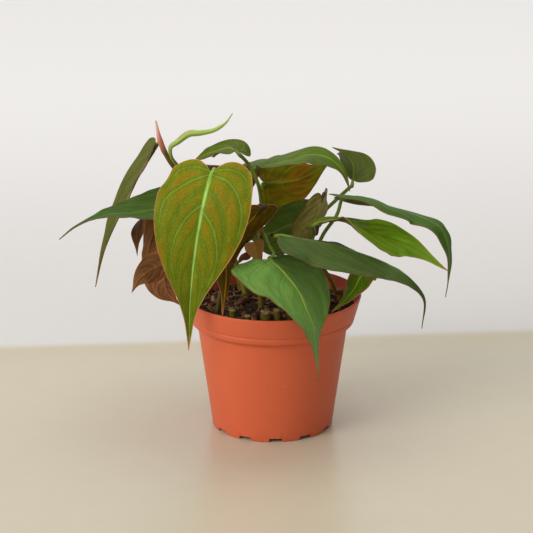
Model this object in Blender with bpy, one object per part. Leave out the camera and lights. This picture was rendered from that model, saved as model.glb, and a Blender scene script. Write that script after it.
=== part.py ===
"""Potted velvet leaf philodendron: a nursery pot, potting mix, vine stems and leaves.

Lengths are in millimetres until they become mesh points, which are in metres.
The origin is the middle of the pot's base, +Z is up and -Y is the side that faces the viewer.
"""
import math
import random

import bmesh
import bpy
import numpy as np

MM = 0.001
CLEARANCE = 0.35

# Pot: an 11 cm nursery pot of thin moulded plastic
POT_HEIGHT = 83.0
RIM_RADIUS = 54.0
BAND_RADIUS = 49.4
BAND_BOTTOM = 66.5
GROOVE_HEIGHT = 70.0
GROOVE_DEPTH = 0.5
WALL_TOP_RADIUS = 45.6
WALL_TOP = 63.6
BASE_RADIUS = 36.7
WALL = 1.3
FLOOR_TOP = 3.8
FLOOR_UNDERSIDE = 2.5
FOOT_INNER_RADIUS = 33.4
CENTRE_PAD_RADIUS = 12.0
NOTCH_COUNT = 12
NOTCH_WIDTH = 9.0
NOTCH_HEIGHT = 2.4
NOTCH_TURN = 3.0
NOTCH_CUT = 9.0
POT_SIDES = 60

# Potting mix
SOIL_TOP = 75.0
SOIL_BUMP = 1.3
SOIL_RINGS = (8.0, 17.0, 26.0, 34.0, 42.0)
SOIL_SEED = 11

# Stems
STEM_RADIUS = 1.9
STEM_TIP_RADIUS = 1.5
STEM_SIDES = 6
STEM_STEP = 14.0
HOLE_MOUTH = 8.0
HOLE_PLAY = 0.6
HOLE_SIDES = 8

# Leaves
BLADE_EDGE = 0.7
BLADE_RIB = 1.5
LEAF_ROWS = 11
LEAF_COLUMNS = 3
FAN_END = 0.30
VEIN_BOW = 0.62
LOBE_VEIN_LEAD = 0.55
SIDE_VEIN_LEAD = 0.12
BASE_EASE = 0.18
PETIOLE_RADIUS = 1.25
PETIOLE_TOP_RADIUS = 1.05
PETIOLE_SIDES = 6
PETIOLE_STEP = 8.0
RIB_REACH = 0.09
RIB_SINK = 0.55
SINUS_SINK = 0.75
PETIOLE_OVERRUN = (0.4, 2.5)
PETIOLE_DROP = 0.8
SEAT_PLAY = 0.15
SEAT_RUN = 4.0
PETIOLE_PACE = 0.5

# Half of the heart outline, from the sinus round the lobe to the drip tip.
# Across is a share of the half width, along is a share of the length.
HEART = (
    (0.13, -0.055), (0.33, -0.100), (0.58, -0.095), (0.81, -0.035), (0.95, 0.06),
    (1.00, 0.17), (0.96, 0.29), (0.83, 0.41), (0.62, 0.53), (0.39, 0.64),
    (0.21, 0.74), (0.105, 0.83), (0.055, 0.91), (0.0, 1.0),
)

ROUGHNESS = {"pot": 0.45, "soil": 0.95, "stem": 0.6, "leaf": 0.55}
COLOURS = {
    "pot": (0.55, 0.13, 0.05),
    "soil": (0.035, 0.022, 0.015),
    "stem": (0.16, 0.22, 0.05),
    "olive": (0.20, 0.24, 0.03),
    "green": (0.06, 0.20, 0.05),
    "bright": (0.12, 0.32, 0.04),
    "dark": (0.03, 0.10, 0.03),
    "maroon": (0.14, 0.06, 0.04),
}

# Stems: the points each one passes through, from its foot in the mix upward
STEMS = {
    "stem_left": ((-14, 14, 58), (-17, 15, 80), (-29, 23, 110), (-44, 28, 138), (-57, 19, 154),
                  (-64, 11, 167), (-68, 6, 179), (-70, 4, 190)),
    "stem_centre": ((-6, -6, 58), (-7, -6, 80), (-8, -5, 105), (-7, -4, 124), (-8, -2, 133)),
    "stem_right": ((14, 17, 58), (16, 18, 80), (21, 21, 104), (25, 22, 122)),
    "stem_front": ((13, -8, 58), (14, -6, 80), (18, 0, 98), (21, 2, 110)),
    "stem_back_left": ((-18, 27, 58), (-21, 29, 85), (-28, 34, 108), (-32, 36, 126)),
    "stem_back_right": ((10, 33, 58), (11, 35, 85), (13, 38, 104), (14, 40, 116)),
    "stem_low": ((41, 9, 68), (41, 9, 75), (42, 10, 82)),
}
GROWING_TIP = "stem_left"
GROWING_TIP_RADIUS = 0.5

# Cut stems that end just above the mix: foot, top and radius
STUBS = {
    "stub_1": ((-24, -37, 68), (-24, -38, 85), 2.2),
    "stub_2": ((-15, -39, 68), (-15, -40, 82), 2.0),
    "stub_3": ((-4, -38, 68), (-4, -39, 84), 3.2),
    "stub_4": ((3, -40, 68), (3, -41, 86), 2.2),
    "stub_5": ((9, -36, 68), (10, -37, 82), 2.4),
    "stub_6": ((-36, -24, 68), (-31, -20, 90), 1.8),
}
STUB_SIDES = 8


def leaf(rib, facing, width, stem, at, via=(), fold=(8, 8), right_fold=None, curve=0.0, colour="green",
         middle_facing=None, tip_facing=None, lobe=1.0, skew=0.0, even=0.0):
    """Describe one leaf; stem and at say where its petiole leaves, at as a share of the stem.

    Lobe scales the lobes' reach behind the sinus; skew slides the right half toward the base.
    Even is the share of the midrib over which its direction is evened out.
    """
    facings = [way for way in (facing, middle_facing, tip_facing or facing) if way]
    return {
        "rib": rib, "facing": facings, "width": width, "stem": stem, "at": at,
        "via": via, "left_fold": fold, "right_fold": right_fold or fold, "curve": curve,
        "colour": colour, "lobe": lobe, "skew": skew, "even": even,
    }


# Leaves: midrib points from the sinus to the tip, the way the top faces, and the full width.
# Folds are degrees that each half rises from flat, at the base, halfway where given, and at the tip.
LEAVES = {
    "leaf_front_tall": leaf(
        ((-36, -31, 168), (-40, -41, 155), (-45, -46, 129), (-49, -46, 92), (-50, -45, 61)),
        (-0.53, -0.83, -0.18), 57, "stem_left", 0.66, ((-36, -16, 163), (-40, 6, 156)),
        fold=(26, 26, 36), right_fold=(-8, 2, 9), curve=-0.015, colour="olive",
        tip_facing=(0.04, -0.96, -0.28), lobe=0.62, skew=0.01),
    "leaf_left_long": leaf(
        ((-71, 19, 171), (-74, 20, 164), (-81, 21, 152), (-88, 22, 137), (-103, 20, 104),
         (-109, 21, 80)),
        (-0.57, -0.04, 0.82), 29, "stem_left", 0.74, ((-66, 15, 168),),
        fold=(16, 25, 40), right_fold=(3, 7, 30), curve=0.007, colour="green",
        middle_facing=(-0.83, -0.11, 0.55), tip_facing=(-0.84, -0.38, 0.4), lobe=0.29, skew=0.03),
    "leaf_left_reach": leaf(
        ((-48, 1, 138), (-63, -5, 139), (-80, -9, 137), (-101, -13, 136), (-118, -13, 129),
         (-128, -16, 122)),
        (-0.11, -0.27, 0.96), 43, "stem_left", 0.5, ((-40, 8, 139),),
        fold=(0, 6, 4), right_fold=(-5, 10, 14), curve=0.008, colour="dark",
        tip_facing=(-0.08, -0.01, 1.0), lobe=1.02, skew=-0.08),
    "leaf_left_small": leaf(
        ((-77, 28, 128), (-83, 26, 110), (-83, 24, 99)),
        (0.95, 0.0, -0.3), 18, "stem_back_left", 0.88, ((-62, 32, 129), (-46, 36, 126)),
        fold=(4, 1, 6), right_fold=(22, 10, -17), curve=-0.013, colour="maroon",
        tip_facing=(0.17, 0.83, 0.53), lobe=0.21, skew=-0.12),
    "leaf_left_strip": leaf(
        ((-65, 8, 131), (-71, 9, 121), (-77, 5, 102), (-82, 4, 86)),
        (0.62, 0.47, 0.63), 21, "stem_back_left", 0.74, ((-56, 17, 128), (-42, 28, 116)),
        fold=(20, 23, 22), right_fold=(5, 13, 20), curve=0.011, colour="maroon",
        tip_facing=(0.58, 0.74, 0.35), lobe=0.34, skew=-0.05),
    "leaf_left_fold": leaf(
        ((-63, -17, 108), (-71, -18, 105), (-80, -18, 98), (-85, -15, 88)),
        (0.13, 0.88, 0.46), 24, "stem_left", 0.3, ((-46, 2, 113),),
        fold=(0, 3, 3), right_fold=(-6, 0, 3), curve=0.015, colour="maroon",
        middle_facing=(0.14, 0.86, 0.5), tip_facing=(0.16, 0.9, 0.4), lobe=0.7, skew=0.1),
    "leaf_left_round": leaf(
        ((-67, 4, 97), (-66, 5, 91), (-64, 6, 82), (-56, 9, 72)),
        (0.23, 0.95, 0.21), 25, "stem_back_left", 0.45, ((-50, 14, 102),),
        fold=(-5, 0, 0), right_fold=(0, -1, 0), curve=-0.001, colour="maroon",
        middle_facing=(-0.04, 0.98, 0.18), tip_facing=(0.07, 0.96, 0.26), lobe=0.4, skew=-0.05),
    "leaf_top_centre": leaf(
        ((-22, -6, 175), (-26, -1, 175), (-33, 3, 172), (-41, 4, 169), (-48, 10, 163)),
        (0.08, 0.27, 0.96), 28, "stem_centre", 0.9, ((-14, 2, 163), (-9, 3, 152), (-7, 7, 140)),
        fold=(-28, 1, 9), right_fold=(-20, -3, -3), curve=0.025, colour="green",
        middle_facing=(-0.81, 0.02, 0.58), tip_facing=(-0.73, -0.42, 0.53), lobe=0.75, skew=-0.01, even=0.1),
    "leaf_right_back": leaf(
        ((-10, 20, 157), (11, 18, 162), (24, 19, 165), (35, 16, 163), (42, 12, 157), (47, 8, 145)),
        (-0.80, 0.11, 0.60), 43, "stem_centre", 0.78, ((-13, 12, 146), (-14, 6, 130)),
        fold=(18, 22, 19), right_fold=(2, -5, 13), curve=-0.009, colour="green",
        middle_facing=(-0.29, -0.29, 0.91), tip_facing=(0.59, -0.59, 0.54), lobe=0.28, skew=0.17, even=0.1),
    "leaf_right_under": leaf(
        ((-4, 35, 142), (9, 41, 141), (23, 47, 144), (38, 48, 155)),
        (0.13, 0.82, -0.56), 36, "stem_centre", 0.52, ((-5, 32, 129), (-8, 24, 112), (-9, 9, 100)),
        fold=(2, 0, 0), right_fold=(0, -4, -5), curve=0.004, colour="olive",
        middle_facing=(-0.05, 0.94, -0.35), tip_facing=(-0.03, 0.87, -0.5), lobe=1.0, skew=0.07),
    "leaf_right_lobe": leaf(
        ((49, 22, 148), (49, 38, 154), (45, 49, 157), (37, 59, 159)),
        (0.30, -0.19, 0.93), 29, "stem_right", 0.96, ((47, 30, 141), (38, 31, 132), (31, 26, 126)),
        fold=(23, 34, 39), right_fold=(34, 16, 15), curve=0.025, colour="dark",
        middle_facing=(0.23, -0.16, 0.96), tip_facing=(0.12, -0.16, 0.98), lobe=0.57, skew=-0.06, even=0.1),
    "leaf_right_long": leaf(
        ((45, 5, 143), (60, -1, 143), (70, -3, 139), (85, -3, 134), (102, -10, 126), (106, -12, 114),
         (106, -11, 94), (105, -5, 82)),
        (-0.19, 0.06, 0.98), 41, "stem_front", 0.75, ((39, 9, 130), (30, 9, 116)),
        fold=(24, 9, -5), right_fold=(-25, -11, 7), curve=-0.015, colour="green",
        tip_facing=(0.82, -0.38, 0.42), lobe=0.88, skew=0.03),
    "leaf_right_bright": leaf(
        ((27, -20, 134), (38, -18, 135), (59, -21, 128), (82, -22, 120), (105, -29, 106)),
        (0.45, 0.22, 0.86), 50, "stem_front", 0.94, ((25, -11, 125), (23, -5, 116)),
        fold=(8, 8, -5), right_fold=(-26, -12, 33), curve=0.016, colour="bright",
        middle_facing=(0.49, -0.47, 0.74), tip_facing=(0.04, -0.98, 0.19), lobe=0.27, skew=0.09),
    "leaf_right_dark": leaf(
        ((4, -32, 130), (24, -34, 127), (49, -40, 122), (69, -41, 114), (82, -44, 106), (90, -43, 95),
         (89, -41, 74)),
        (-0.68, 0.09, 0.73), 40, "stem_low", 0.92, ((13, -17, 123), (25, -8, 109), (35, 0, 92)),
        fold=(-17, -23, -12), right_fold=(-21, -33, -27), curve=0.005, colour="dark",
        middle_facing=(-0.01, -0.21, 0.98), tip_facing=(0.69, -0.39, 0.61), lobe=0.21, skew=0.05),
    "leaf_front_centre": leaf(
        ((-1, -33, 115), (8, -45, 109), (16, -53, 100), (19, -58, 94), (24, -65, 83), (25, -66, 72),
         (27, -76, 54)),
        (0.15, -0.49, 0.86), 66, "stem_centre", 0.84, ((1, -31, 117), (-2, -25, 121), (-6, -15, 126)),
        fold=(-6, 14, 40), right_fold=(-27, -30, -27), curve=0.01, colour="green",
        middle_facing=(0.48, -0.65, 0.59), tip_facing=(0.71, -0.68, 0.19), lobe=0.62),
    "leaf_mid_dark": leaf(
        ((-7, -22, 143), (-19, -26, 130), (-27, -28, 116), (-28, -34, 101), (-30, -40, 80)),
        (-0.56, 0.57, 0.6), 36, "stem_centre", 0.97, ((-9, -6, 139),),
        fold=(-3, 3, 4), right_fold=(7, 8, 12), curve=-0.002, colour="maroon",
        middle_facing=(-0.57, 0.68, 0.46), tip_facing=(-0.49, 0.76, 0.42), lobe=0.42, skew=-0.11, even=0.1),
    "leaf_mid_green": leaf(
        ((19, 24, 120), (11, 21, 120), (-2, 13, 117), (-22, 10, 117)),
        (0.34, -0.78, 0.52), 30, "stem_right", 0.84, ((24, 27, 126),),
        fold=(-4, 0, 0), right_fold=(0, -7, 0), curve=0.019, colour="dark",
        middle_facing=(0.19, -0.92, 0.35), tip_facing=(0.10, -0.92, 0.37), lobe=0.68, skew=-0.23),
    "leaf_mid_brown": leaf(
        ((30, 16, 139), (28, 13, 131), (20, 8, 120), (16, 6, 99)),
        (-0.32, 0.80, 0.50), 25, "stem_right", 0.9, ((30, 20, 136),),
        fold=(33, 15, 22), right_fold=(-14, -5, 3), curve=0.018, colour="maroon",
        middle_facing=(-0.09, 0.86, 0.50), tip_facing=(-0.26, 0.92, 0.28), lobe=0.84, skew=-0.12),
    "leaf_low_right": leaf(
        ((59, 6, 96), (54, 3, 93), (50, -4, 88), (43, -13, 82), (35, -17, 76)),
        (-0.46, -0.40, 0.79), 25, "stem_right", 0.52, ((48, 19, 101), (34, 20, 100)),
        fold=(1, -7, 0), right_fold=(0, 5, 5), curve=-0.017, colour="olive",
        middle_facing=(-0.66, -0.53, 0.53), tip_facing=(-0.38, -0.79, 0.48), lobe=0.63, skew=-0.07),
    "leaf_mid_sheath": leaf(
        ((-11, -18, 121), (-10, -20, 117), (-9, -22, 113), (-7, -24, 108)),
        (-0.2, -1.0, 0.2), 13, "stem_centre", 0.76, ((-8, -11, 118),),
        fold=(20, 25), colour="maroon", lobe=0.3),
    "leaf_mid_curl": leaf(
        ((-13, -13, 112), (-15, -16, 110), (-18, -18, 110), (-22, -19, 107)),
        (0.0, 0.8, 0.6), 15, "stem_centre", 0.55, ((-11, -10, 107),),
        fold=(25, 25), colour="maroon"),
    "leaf_back_left": leaf(
        ((-47, 44, 136), (-58, 56, 127), (-67, 66, 110), (-70, 70, 90)),
        (-0.5, 0.5, 0.8), 38, "stem_back_left", 0.96, ((-41, 40, 134),),
        fold=(8, 8), colour="green", tip_facing=(-0.6, 0.8, 0.2)),
    "leaf_back_tall": leaf(
        ((-27, 56, 146), (-27, 72, 138), (-28, 84, 116), (-30, 89, 86)),
        (0.0, 0.5, 0.85), 40, "stem_back_left", 0.9, ((-29, 47, 134),),
        fold=(6, 10), colour="olive", tip_facing=(0.0, 1.0, 0.1)),
    "leaf_back_right": leaf(
        ((10, 46, 114), (10, 57, 109), (10, 69, 99), (9, 79, 85)),
        (0.0, 0.5, 0.85), 36, "stem_back_right", 0.95, ((12, 43, 117),),
        fold=(6, 10), colour="green", tip_facing=(0.0, 0.9, 0.4)),
    "leaf_back_side": leaf(
        ((28, 46, 95), (35, 57, 93), (42, 68, 87), (46, 76, 77)),
        (0.2, 0.3, 0.95), 32, "stem_back_right", 0.6, ((21, 41, 94),),
        fold=(8, 10), colour="dark", tip_facing=(0.4, 0.8, 0.5)),
    "leaf_back_low": leaf(
        ((-36, 50, 99), (-42, 59, 92), (-46, 65, 78), (-47, 67, 64)),
        (-0.3, 0.6, 0.8), 32, "stem_back_left", 0.55, ((-31, 43, 98),),
        fold=(8, 10), colour="dark", tip_facing=(-0.4, 0.9, 0.1)),
}

# The youngest leaf is still rolled: a thin spindle on its petiole, as points and radii
ROLLED_LEAF = ((-61, 5, 168), (-61, 4, 174), (-57, 4, 177), (-50, 4, 182), (-43, 3, 183), (-35, 2, 185),
               (-28, 0, 190), (-24, -2, 196))
ROLLED_RADII = (1.0, 1.1, 1.5, 1.9, 1.9, 1.4, 1.0, 0.5)
ROLLED_SIDES = 8
ROLLED_STEM = "stem_left"
ROLLED_AT = 0.76


def clear_scene():
    for old in list(bpy.data.objects):
        bpy.data.objects.remove(old, do_unlink=True)


def make_material(name, colour, roughness):
    material = bpy.data.materials.new(name)
    material.use_nodes = True
    shader = material.node_tree.nodes["Principled BSDF"]
    shader.inputs["Base Color"].default_value = (*colour, 1.0)
    shader.inputs["Roughness"].default_value = roughness
    return material


def add_object(name, points, faces, material=None):
    """Make a mesh object from points in millimetres."""
    mesh = bpy.data.meshes.new(name)
    mesh.from_pydata([tuple(point) for point in np.asarray(points, float) * MM], [], faces)
    mesh.update()
    if material:
        mesh.materials.append(material)
    made = bpy.data.objects.new(name, mesh)
    bpy.context.collection.objects.link(made)
    return made


def unit(vector):
    return vector / np.linalg.norm(vector)


def through(knots, at, fine):
    """Return the places at fine on the smooth curve that passes each knot at its value of at."""
    slopes = np.gradient(knots, at, axis=0)
    piece = np.clip(np.searchsorted(at, fine, side="right") - 1, 0, len(at) - 2)
    gap = (at[piece + 1] - at[piece])[:, None]
    t = ((fine - at[piece])[:, None]) / gap
    return ((2 * t**3 - 3 * t**2 + 1) * knots[piece] + (t**3 - 2 * t**2 + t) * gap * slopes[piece]
            + (3 * t**2 - 2 * t**3) * knots[piece + 1] + (t**3 - t**2) * gap * slopes[piece + 1])


def smooth_curve(points, pace=1.0, samples=160):
    """Return close points on a smooth curve through the given points.

    A pace below 1 keeps the curve from swinging out where short and long steps meet.
    """
    knots = np.array(points, float)
    at = np.concatenate([[0.0], np.cumsum(np.linalg.norm(np.diff(knots, axis=0), axis=1)**pace)])
    return through(knots, at, np.linspace(0.0, at[-1], samples))


def along_curve(curve, shares):
    """Return the points and unit directions at shares of a curve's length."""
    run = np.concatenate([[0.0], np.cumsum(np.linalg.norm(np.diff(curve, axis=0), axis=1))])
    at = np.asarray(shares, float) * run[-1]
    slopes = np.gradient(curve, run, axis=0)
    points = np.stack([np.interp(at, run, curve[:, k]) for k in range(3)], axis=1)
    ways = np.stack([np.interp(at, run, slopes[:, k]) for k in range(3)], axis=1)
    return points, ways / np.linalg.norm(ways, axis=1)[:, None], run[-1]


def tube(name, points, radii, sides, material=None):
    """Make a closed tube along points, with a radius at each."""
    path = np.array(points, float)
    ways = np.gradient(path, axis=0)
    ways /= np.linalg.norm(ways, axis=1)[:, None]
    side = unit(np.cross(ways[0], (0.3, 0.9, 0.1)))
    vertices = []
    for centre, way, radius in zip(path, ways, radii):
        side = unit(side - way * side.dot(way))
        other = np.cross(way, side)
        for k in range(sides):
            angle = 2 * math.pi * k / sides
            vertices.append(centre + radius * (math.cos(angle) * side + math.sin(angle) * other))
    faces = []
    for ring in range(len(path) - 1):
        low = ring * sides
        for k in range(sides):
            after = (k + 1) % sides
            faces.append((low + k, low + after, low + sides + after, low + sides + k))
    last = (len(path) - 1) * sides
    faces.append(tuple(reversed(range(sides))))
    faces.append(tuple(range(last, last + sides)))
    return add_object(name, vertices, faces, material)


def is_closed(mesh):
    """Tell whether every edge of the mesh has exactly two faces that agree on its direction."""
    work = bmesh.new()
    work.from_mesh(mesh)
    closed = all(edge.is_manifold and edge.is_contiguous for edge in work.edges)
    work.free()
    return closed


def apply_boolean(target, cutter, operation):
    """Cut or join with the cutter, keep the result as the target's mesh, and remove the cutter.

    A result that is open, or has fewer points than the target had, is made again with the other solver.
    """
    modifier = target.modifiers.new("boolean", "BOOLEAN")
    modifier.operation = operation
    modifier.object = cutter
    for solver in ("EXACT", "MANIFOLD"):
        modifier.solver = solver
        graph = bpy.context.evaluated_depsgraph_get()
        mesh = bpy.data.meshes.new_from_object(target.evaluated_get(graph))
        if is_closed(mesh) and len(mesh.vertices) > len(target.data.vertices):
            break
    target.modifiers.remove(modifier)
    old = target.data
    target.data = mesh
    mesh.name = target.name
    bpy.data.meshes.remove(old)
    bpy.data.objects.remove(cutter, do_unlink=True)


def revolve(name, profile, sides, material):
    """Turn a profile of (radius, height) pairs that starts and ends on the axis."""
    mesh = bpy.data.meshes.new(name)
    work = bmesh.new()
    corners = [work.verts.new((radius * MM, 0.0, height * MM)) for radius, height in profile]
    edges = [work.edges.new(pair) for pair in zip(corners, corners[1:])]
    bmesh.ops.spin(work, geom=corners + edges, cent=(0, 0, 0), axis=(0, 0, 1),
                   angle=2 * math.pi, steps=sides, use_merge=True)
    bmesh.ops.remove_doubles(work, verts=work.verts, dist=0.01 * MM)
    bmesh.ops.recalc_face_normals(work, faces=work.faces)
    work.to_mesh(mesh)
    work.free()
    mesh.materials.append(material)
    made = bpy.data.objects.new(name, mesh)
    bpy.context.collection.objects.link(made)
    return made


def pot_inner_profile():
    """Return the inside of the pot's wall from the mouth down to its floor."""
    return [
        (RIM_RADIUS - WALL, POT_HEIGHT),
        (BAND_RADIUS - WALL, BAND_BOTTOM),
        (WALL_TOP_RADIUS - WALL, WALL_TOP - WALL),
        (BASE_RADIUS - WALL, FLOOR_TOP),
    ]


def pot_outer_profile():
    """Return the pot's outside from its underside up to the mouth."""
    taper = (RIM_RADIUS - BAND_RADIUS) / (POT_HEIGHT - BAND_BOTTOM)
    groove_radius = BAND_RADIUS + taper * (GROOVE_HEIGHT - BAND_BOTTOM)
    return [
        (0.0, 0.0),
        (CENTRE_PAD_RADIUS, 0.0),
        (CENTRE_PAD_RADIUS + 1.0, FLOOR_UNDERSIDE),
        (FOOT_INNER_RADIUS - 0.6, FLOOR_UNDERSIDE),
        (FOOT_INNER_RADIUS, 0.0),
        (BASE_RADIUS - 0.5, 0.0),
        (BASE_RADIUS, 0.8),
        (WALL_TOP_RADIUS, WALL_TOP),
        (BAND_RADIUS - 0.9, BAND_BOTTOM - 0.6),
        (BAND_RADIUS, BAND_BOTTOM),
        (groove_radius - 0.12, GROOVE_HEIGHT - 0.5),
        (groove_radius - GROOVE_DEPTH, GROOVE_HEIGHT),
        (groove_radius + 0.2, GROOVE_HEIGHT + 0.4),
        (RIM_RADIUS, POT_HEIGHT - 0.5),
        (RIM_RADIUS - 0.4, POT_HEIGHT),
    ]


def notch_cutter():
    """Make the blocks that cut the drainage notches round the foot."""
    work = bmesh.new()
    for k in range(NOTCH_COUNT):
        angle = 2 * math.pi * k / NOTCH_COUNT + math.radians(NOTCH_TURN)
        block = bmesh.ops.create_cube(work, size=1.0)["verts"]
        bmesh.ops.scale(work, verts=block, vec=(NOTCH_WIDTH * MM, NOTCH_CUT * MM, 2 * NOTCH_HEIGHT * MM))
        bmesh.ops.translate(work, verts=block, vec=(0.0, -(BASE_RADIUS - 1.0) * MM, 0.0))
        turn = np.array([[math.cos(angle), -math.sin(angle), 0],
                         [math.sin(angle), math.cos(angle), 0], [0, 0, 1]])
        for vertex in block:
            vertex.co = turn @ np.array(vertex.co)
    mesh = bpy.data.meshes.new("notches")
    work.to_mesh(mesh)
    work.free()
    cutter = bpy.data.objects.new("notches", mesh)
    bpy.context.collection.objects.link(cutter)
    return cutter


def build_pot():
    inner = pot_inner_profile() + [(0.0, FLOOR_TOP)]
    material = make_material("pot", COLOURS["pot"], ROUGHNESS["pot"])
    pot = revolve("pot", pot_outer_profile() + inner, POT_SIDES, material)
    apply_boolean(pot, notch_cutter(), "DIFFERENCE")
    return pot


def soil_profile():
    """Return the mix's side, which follows the pot's inside with a little play."""
    side = [(radius - CLEARANCE, height) for radius, height in reversed(pot_inner_profile()[1:])]
    side[0] = (side[0][0], FLOOR_TOP + CLEARANCE)
    taper = (RIM_RADIUS - BAND_RADIUS) / (POT_HEIGHT - BAND_BOTTOM)
    top_radius = BAND_RADIUS + taper * (SOIL_TOP - BAND_BOTTOM) - WALL - CLEARANCE
    return [(0.0, FLOOR_TOP + CLEARANCE)] + side + [(top_radius, SOIL_TOP)]


def build_soil():
    """Make the potting mix as a turned solid with an uneven top, then sink the stem holes."""
    top = [(radius, SOIL_TOP) for radius in reversed(SOIL_RINGS)]
    soil = revolve("soil", soil_profile() + top + [(0.0, SOIL_TOP)], POT_SIDES // 2,
                   make_material("soil", COLOURS["soil"], ROUGHNESS["soil"]))
    lumps = random.Random(SOIL_SEED)
    for vertex in soil.data.vertices:
        on_top = vertex.co.z > (SOIL_TOP - 0.01) * MM
        if on_top and math.hypot(vertex.co.x, vertex.co.y) < (SOIL_RINGS[-1] + 1) * MM:
            vertex.co.z += lumps.uniform(-SOIL_BUMP, SOIL_BUMP) * MM
    for path, radius in sunk_paths():
        way = unit(path[1] - path[0])
        path[0] = path[0] - way * CLEARANCE
        path[-1] = path[-1] + unit(path[-1] - path[-2]) * HOLE_MOUTH
        hole = tube("hole", path, [radius + HOLE_PLAY] * len(path), HOLE_SIDES)
        apply_boolean(soil, hole, "DIFFERENCE")
    return soil


def sunk_paths():
    """Give the middle line below the top of the mix, and the radius, of all that stands in it."""
    for points in STEMS.values():
        spots = stem_spots(points)
        below = sum(spot[2] < SOIL_TOP for spot in spots)
        yield spots[:below + 1].copy(), STEM_RADIUS
    for foot, top, radius in STUBS.values():
        yield np.array((foot, top), float), radius


def stem_spots(points):
    """Return evenly spaced points along a stem."""
    curve = smooth_curve(points)
    length = along_curve(curve, (0.0,))[2]
    count = max(4, round(length / STEM_STEP) + 1)
    return along_curve(curve, np.linspace(0, 1, count))[0]


def build_stems():
    material = make_material("stem", COLOURS["stem"], ROUGHNESS["stem"])
    for name, points in STEMS.items():
        spots = stem_spots(points)
        count = len(spots)
        radii = list(np.linspace(STEM_RADIUS, STEM_TIP_RADIUS, count))
        if name == GROWING_TIP:
            radii[-1] = GROWING_TIP_RADIUS
        tube(name, spots, radii, STEM_SIDES, material)
    for name, (foot, top, radius) in STUBS.items():
        tube(name, (foot, top), (radius, radius), STUB_SIDES, material)


def outline_point(turn):
    """Return across and along on the heart outline, turn running from 0 at the sinus to 1."""
    across, along = through(np.array(HEART), np.linspace(0.0, 1.0, len(HEART)), turn).T
    return np.clip(across, 0.0, None), along


def spread(values, along):
    """Return the value at shares of the length, from two or three evenly spaced ones."""
    values = np.array(values, float)
    inside = np.clip(along, 0.0, 1.0)
    if values.ndim > 1:
        inside = inside[:, None]
    if len(values) == 2:
        return values[0] + (values[1] - values[0]) * inside
    base, middle, tip = values
    return base + (4 * middle - 3 * base - tip) * inside + 2 * (base - 2 * middle + tip) * inside**2


def eased(along):
    """Return shares of the length that stop gently at the sinus, so that lobes leave no crease."""
    low = (along + BASE_EASE)**2 / (4 * BASE_EASE)
    return np.where(along > BASE_EASE, along, np.where(along > -BASE_EASE, low, 0.0))


def flat_grid(rows, columns, lobe):
    """Return across and along for each row and column of half a blade.

    A row runs from the midrib to the margin the way a side vein does.
    """
    turn = np.linspace(0.0, 1.0, rows)
    edge_across, edge_along = outline_point(turn)
    edge_along = np.where(edge_along < 0, edge_along * lobe, edge_along)
    root = np.clip((edge_along - FAN_END) / (1.0 - FAN_END), 0.0, None)
    lead = edge_along - root
    bend = np.interp(lead, (-SIDE_VEIN_LEAD, FAN_END), (LOBE_VEIN_LEAD, SIDE_VEIN_LEAD))
    v = np.linspace(0.0, 1.0, columns + 1)[None, :]
    across = 2 * v * (1 - v) * VEIN_BOW * edge_across[:, None] + v**2 * edge_across[:, None]
    middle = (root + bend * lead)[:, None]
    along = (1 - v)**2 * root[:, None] + 2 * v * (1 - v) * middle + v**2 * edge_along[:, None]
    return across, along, root, v


def even_way(curve, shares, run):
    """Return the curve's direction evened out over a run, so that a bent leaf's margins stay smooth."""
    ahead = along_curve(curve, np.clip(shares + run, 0.0, 1.0))[0]
    behind = along_curve(curve, np.clip(shares - run, 0.0, 1.0))[0]
    return (ahead - behind) / np.linalg.norm(ahead - behind, axis=1)[:, None]


def blade_frame(spec, along):
    """Return origin, rib direction, normal and side direction at shares of the midrib."""
    curve = smooth_curve(spec["rib"])
    inside = np.clip(along, 0.0, 1.0)
    origin, way, length = along_curve(curve, inside)
    if spec["even"]:
        way = even_way(curve, inside, spec["even"])
    origin = origin + way * ((along - inside) * length)[:, None]
    facing = spread([unit(np.array(facing, float)) for facing in spec["facing"]], eased(along))
    normal = facing - way * np.sum(facing * way, axis=1)[:, None]
    normal /= np.linalg.norm(normal, axis=1)[:, None]
    return origin, way, normal, np.cross(normal, way), length


def half_blade(spec, hand, rows=LEAF_ROWS, columns=LEAF_COLUMNS):
    """Return the mid-surface points of one half; hand is 1 for the right half and -1 for the left."""
    across, along, root, v = flat_grid(rows, columns, spec["lobe"])
    shape = across.shape
    flat_across = (across * spec["width"] / 2).ravel()
    flat_along = (along - hand * spec["skew"] * across).ravel()
    origin, way, normal, side, length = blade_frame(spec, flat_along)
    folds = spec["right_fold"] if hand > 0 else spec["left_fold"]
    fold = np.radians(spread(folds, eased(flat_along)))
    bow = spec["curve"] if abs(spec["curve"]) > 1e-6 else 1e-6
    out = (np.sin(fold + bow * flat_across) - np.sin(fold)) / bow
    rise = (np.cos(fold) - np.cos(fold + bow * flat_across)) / bow
    points = origin + side * (hand * out)[:, None] + normal * rise[:, None]
    return points.reshape(*shape, 3), root, v


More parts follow.
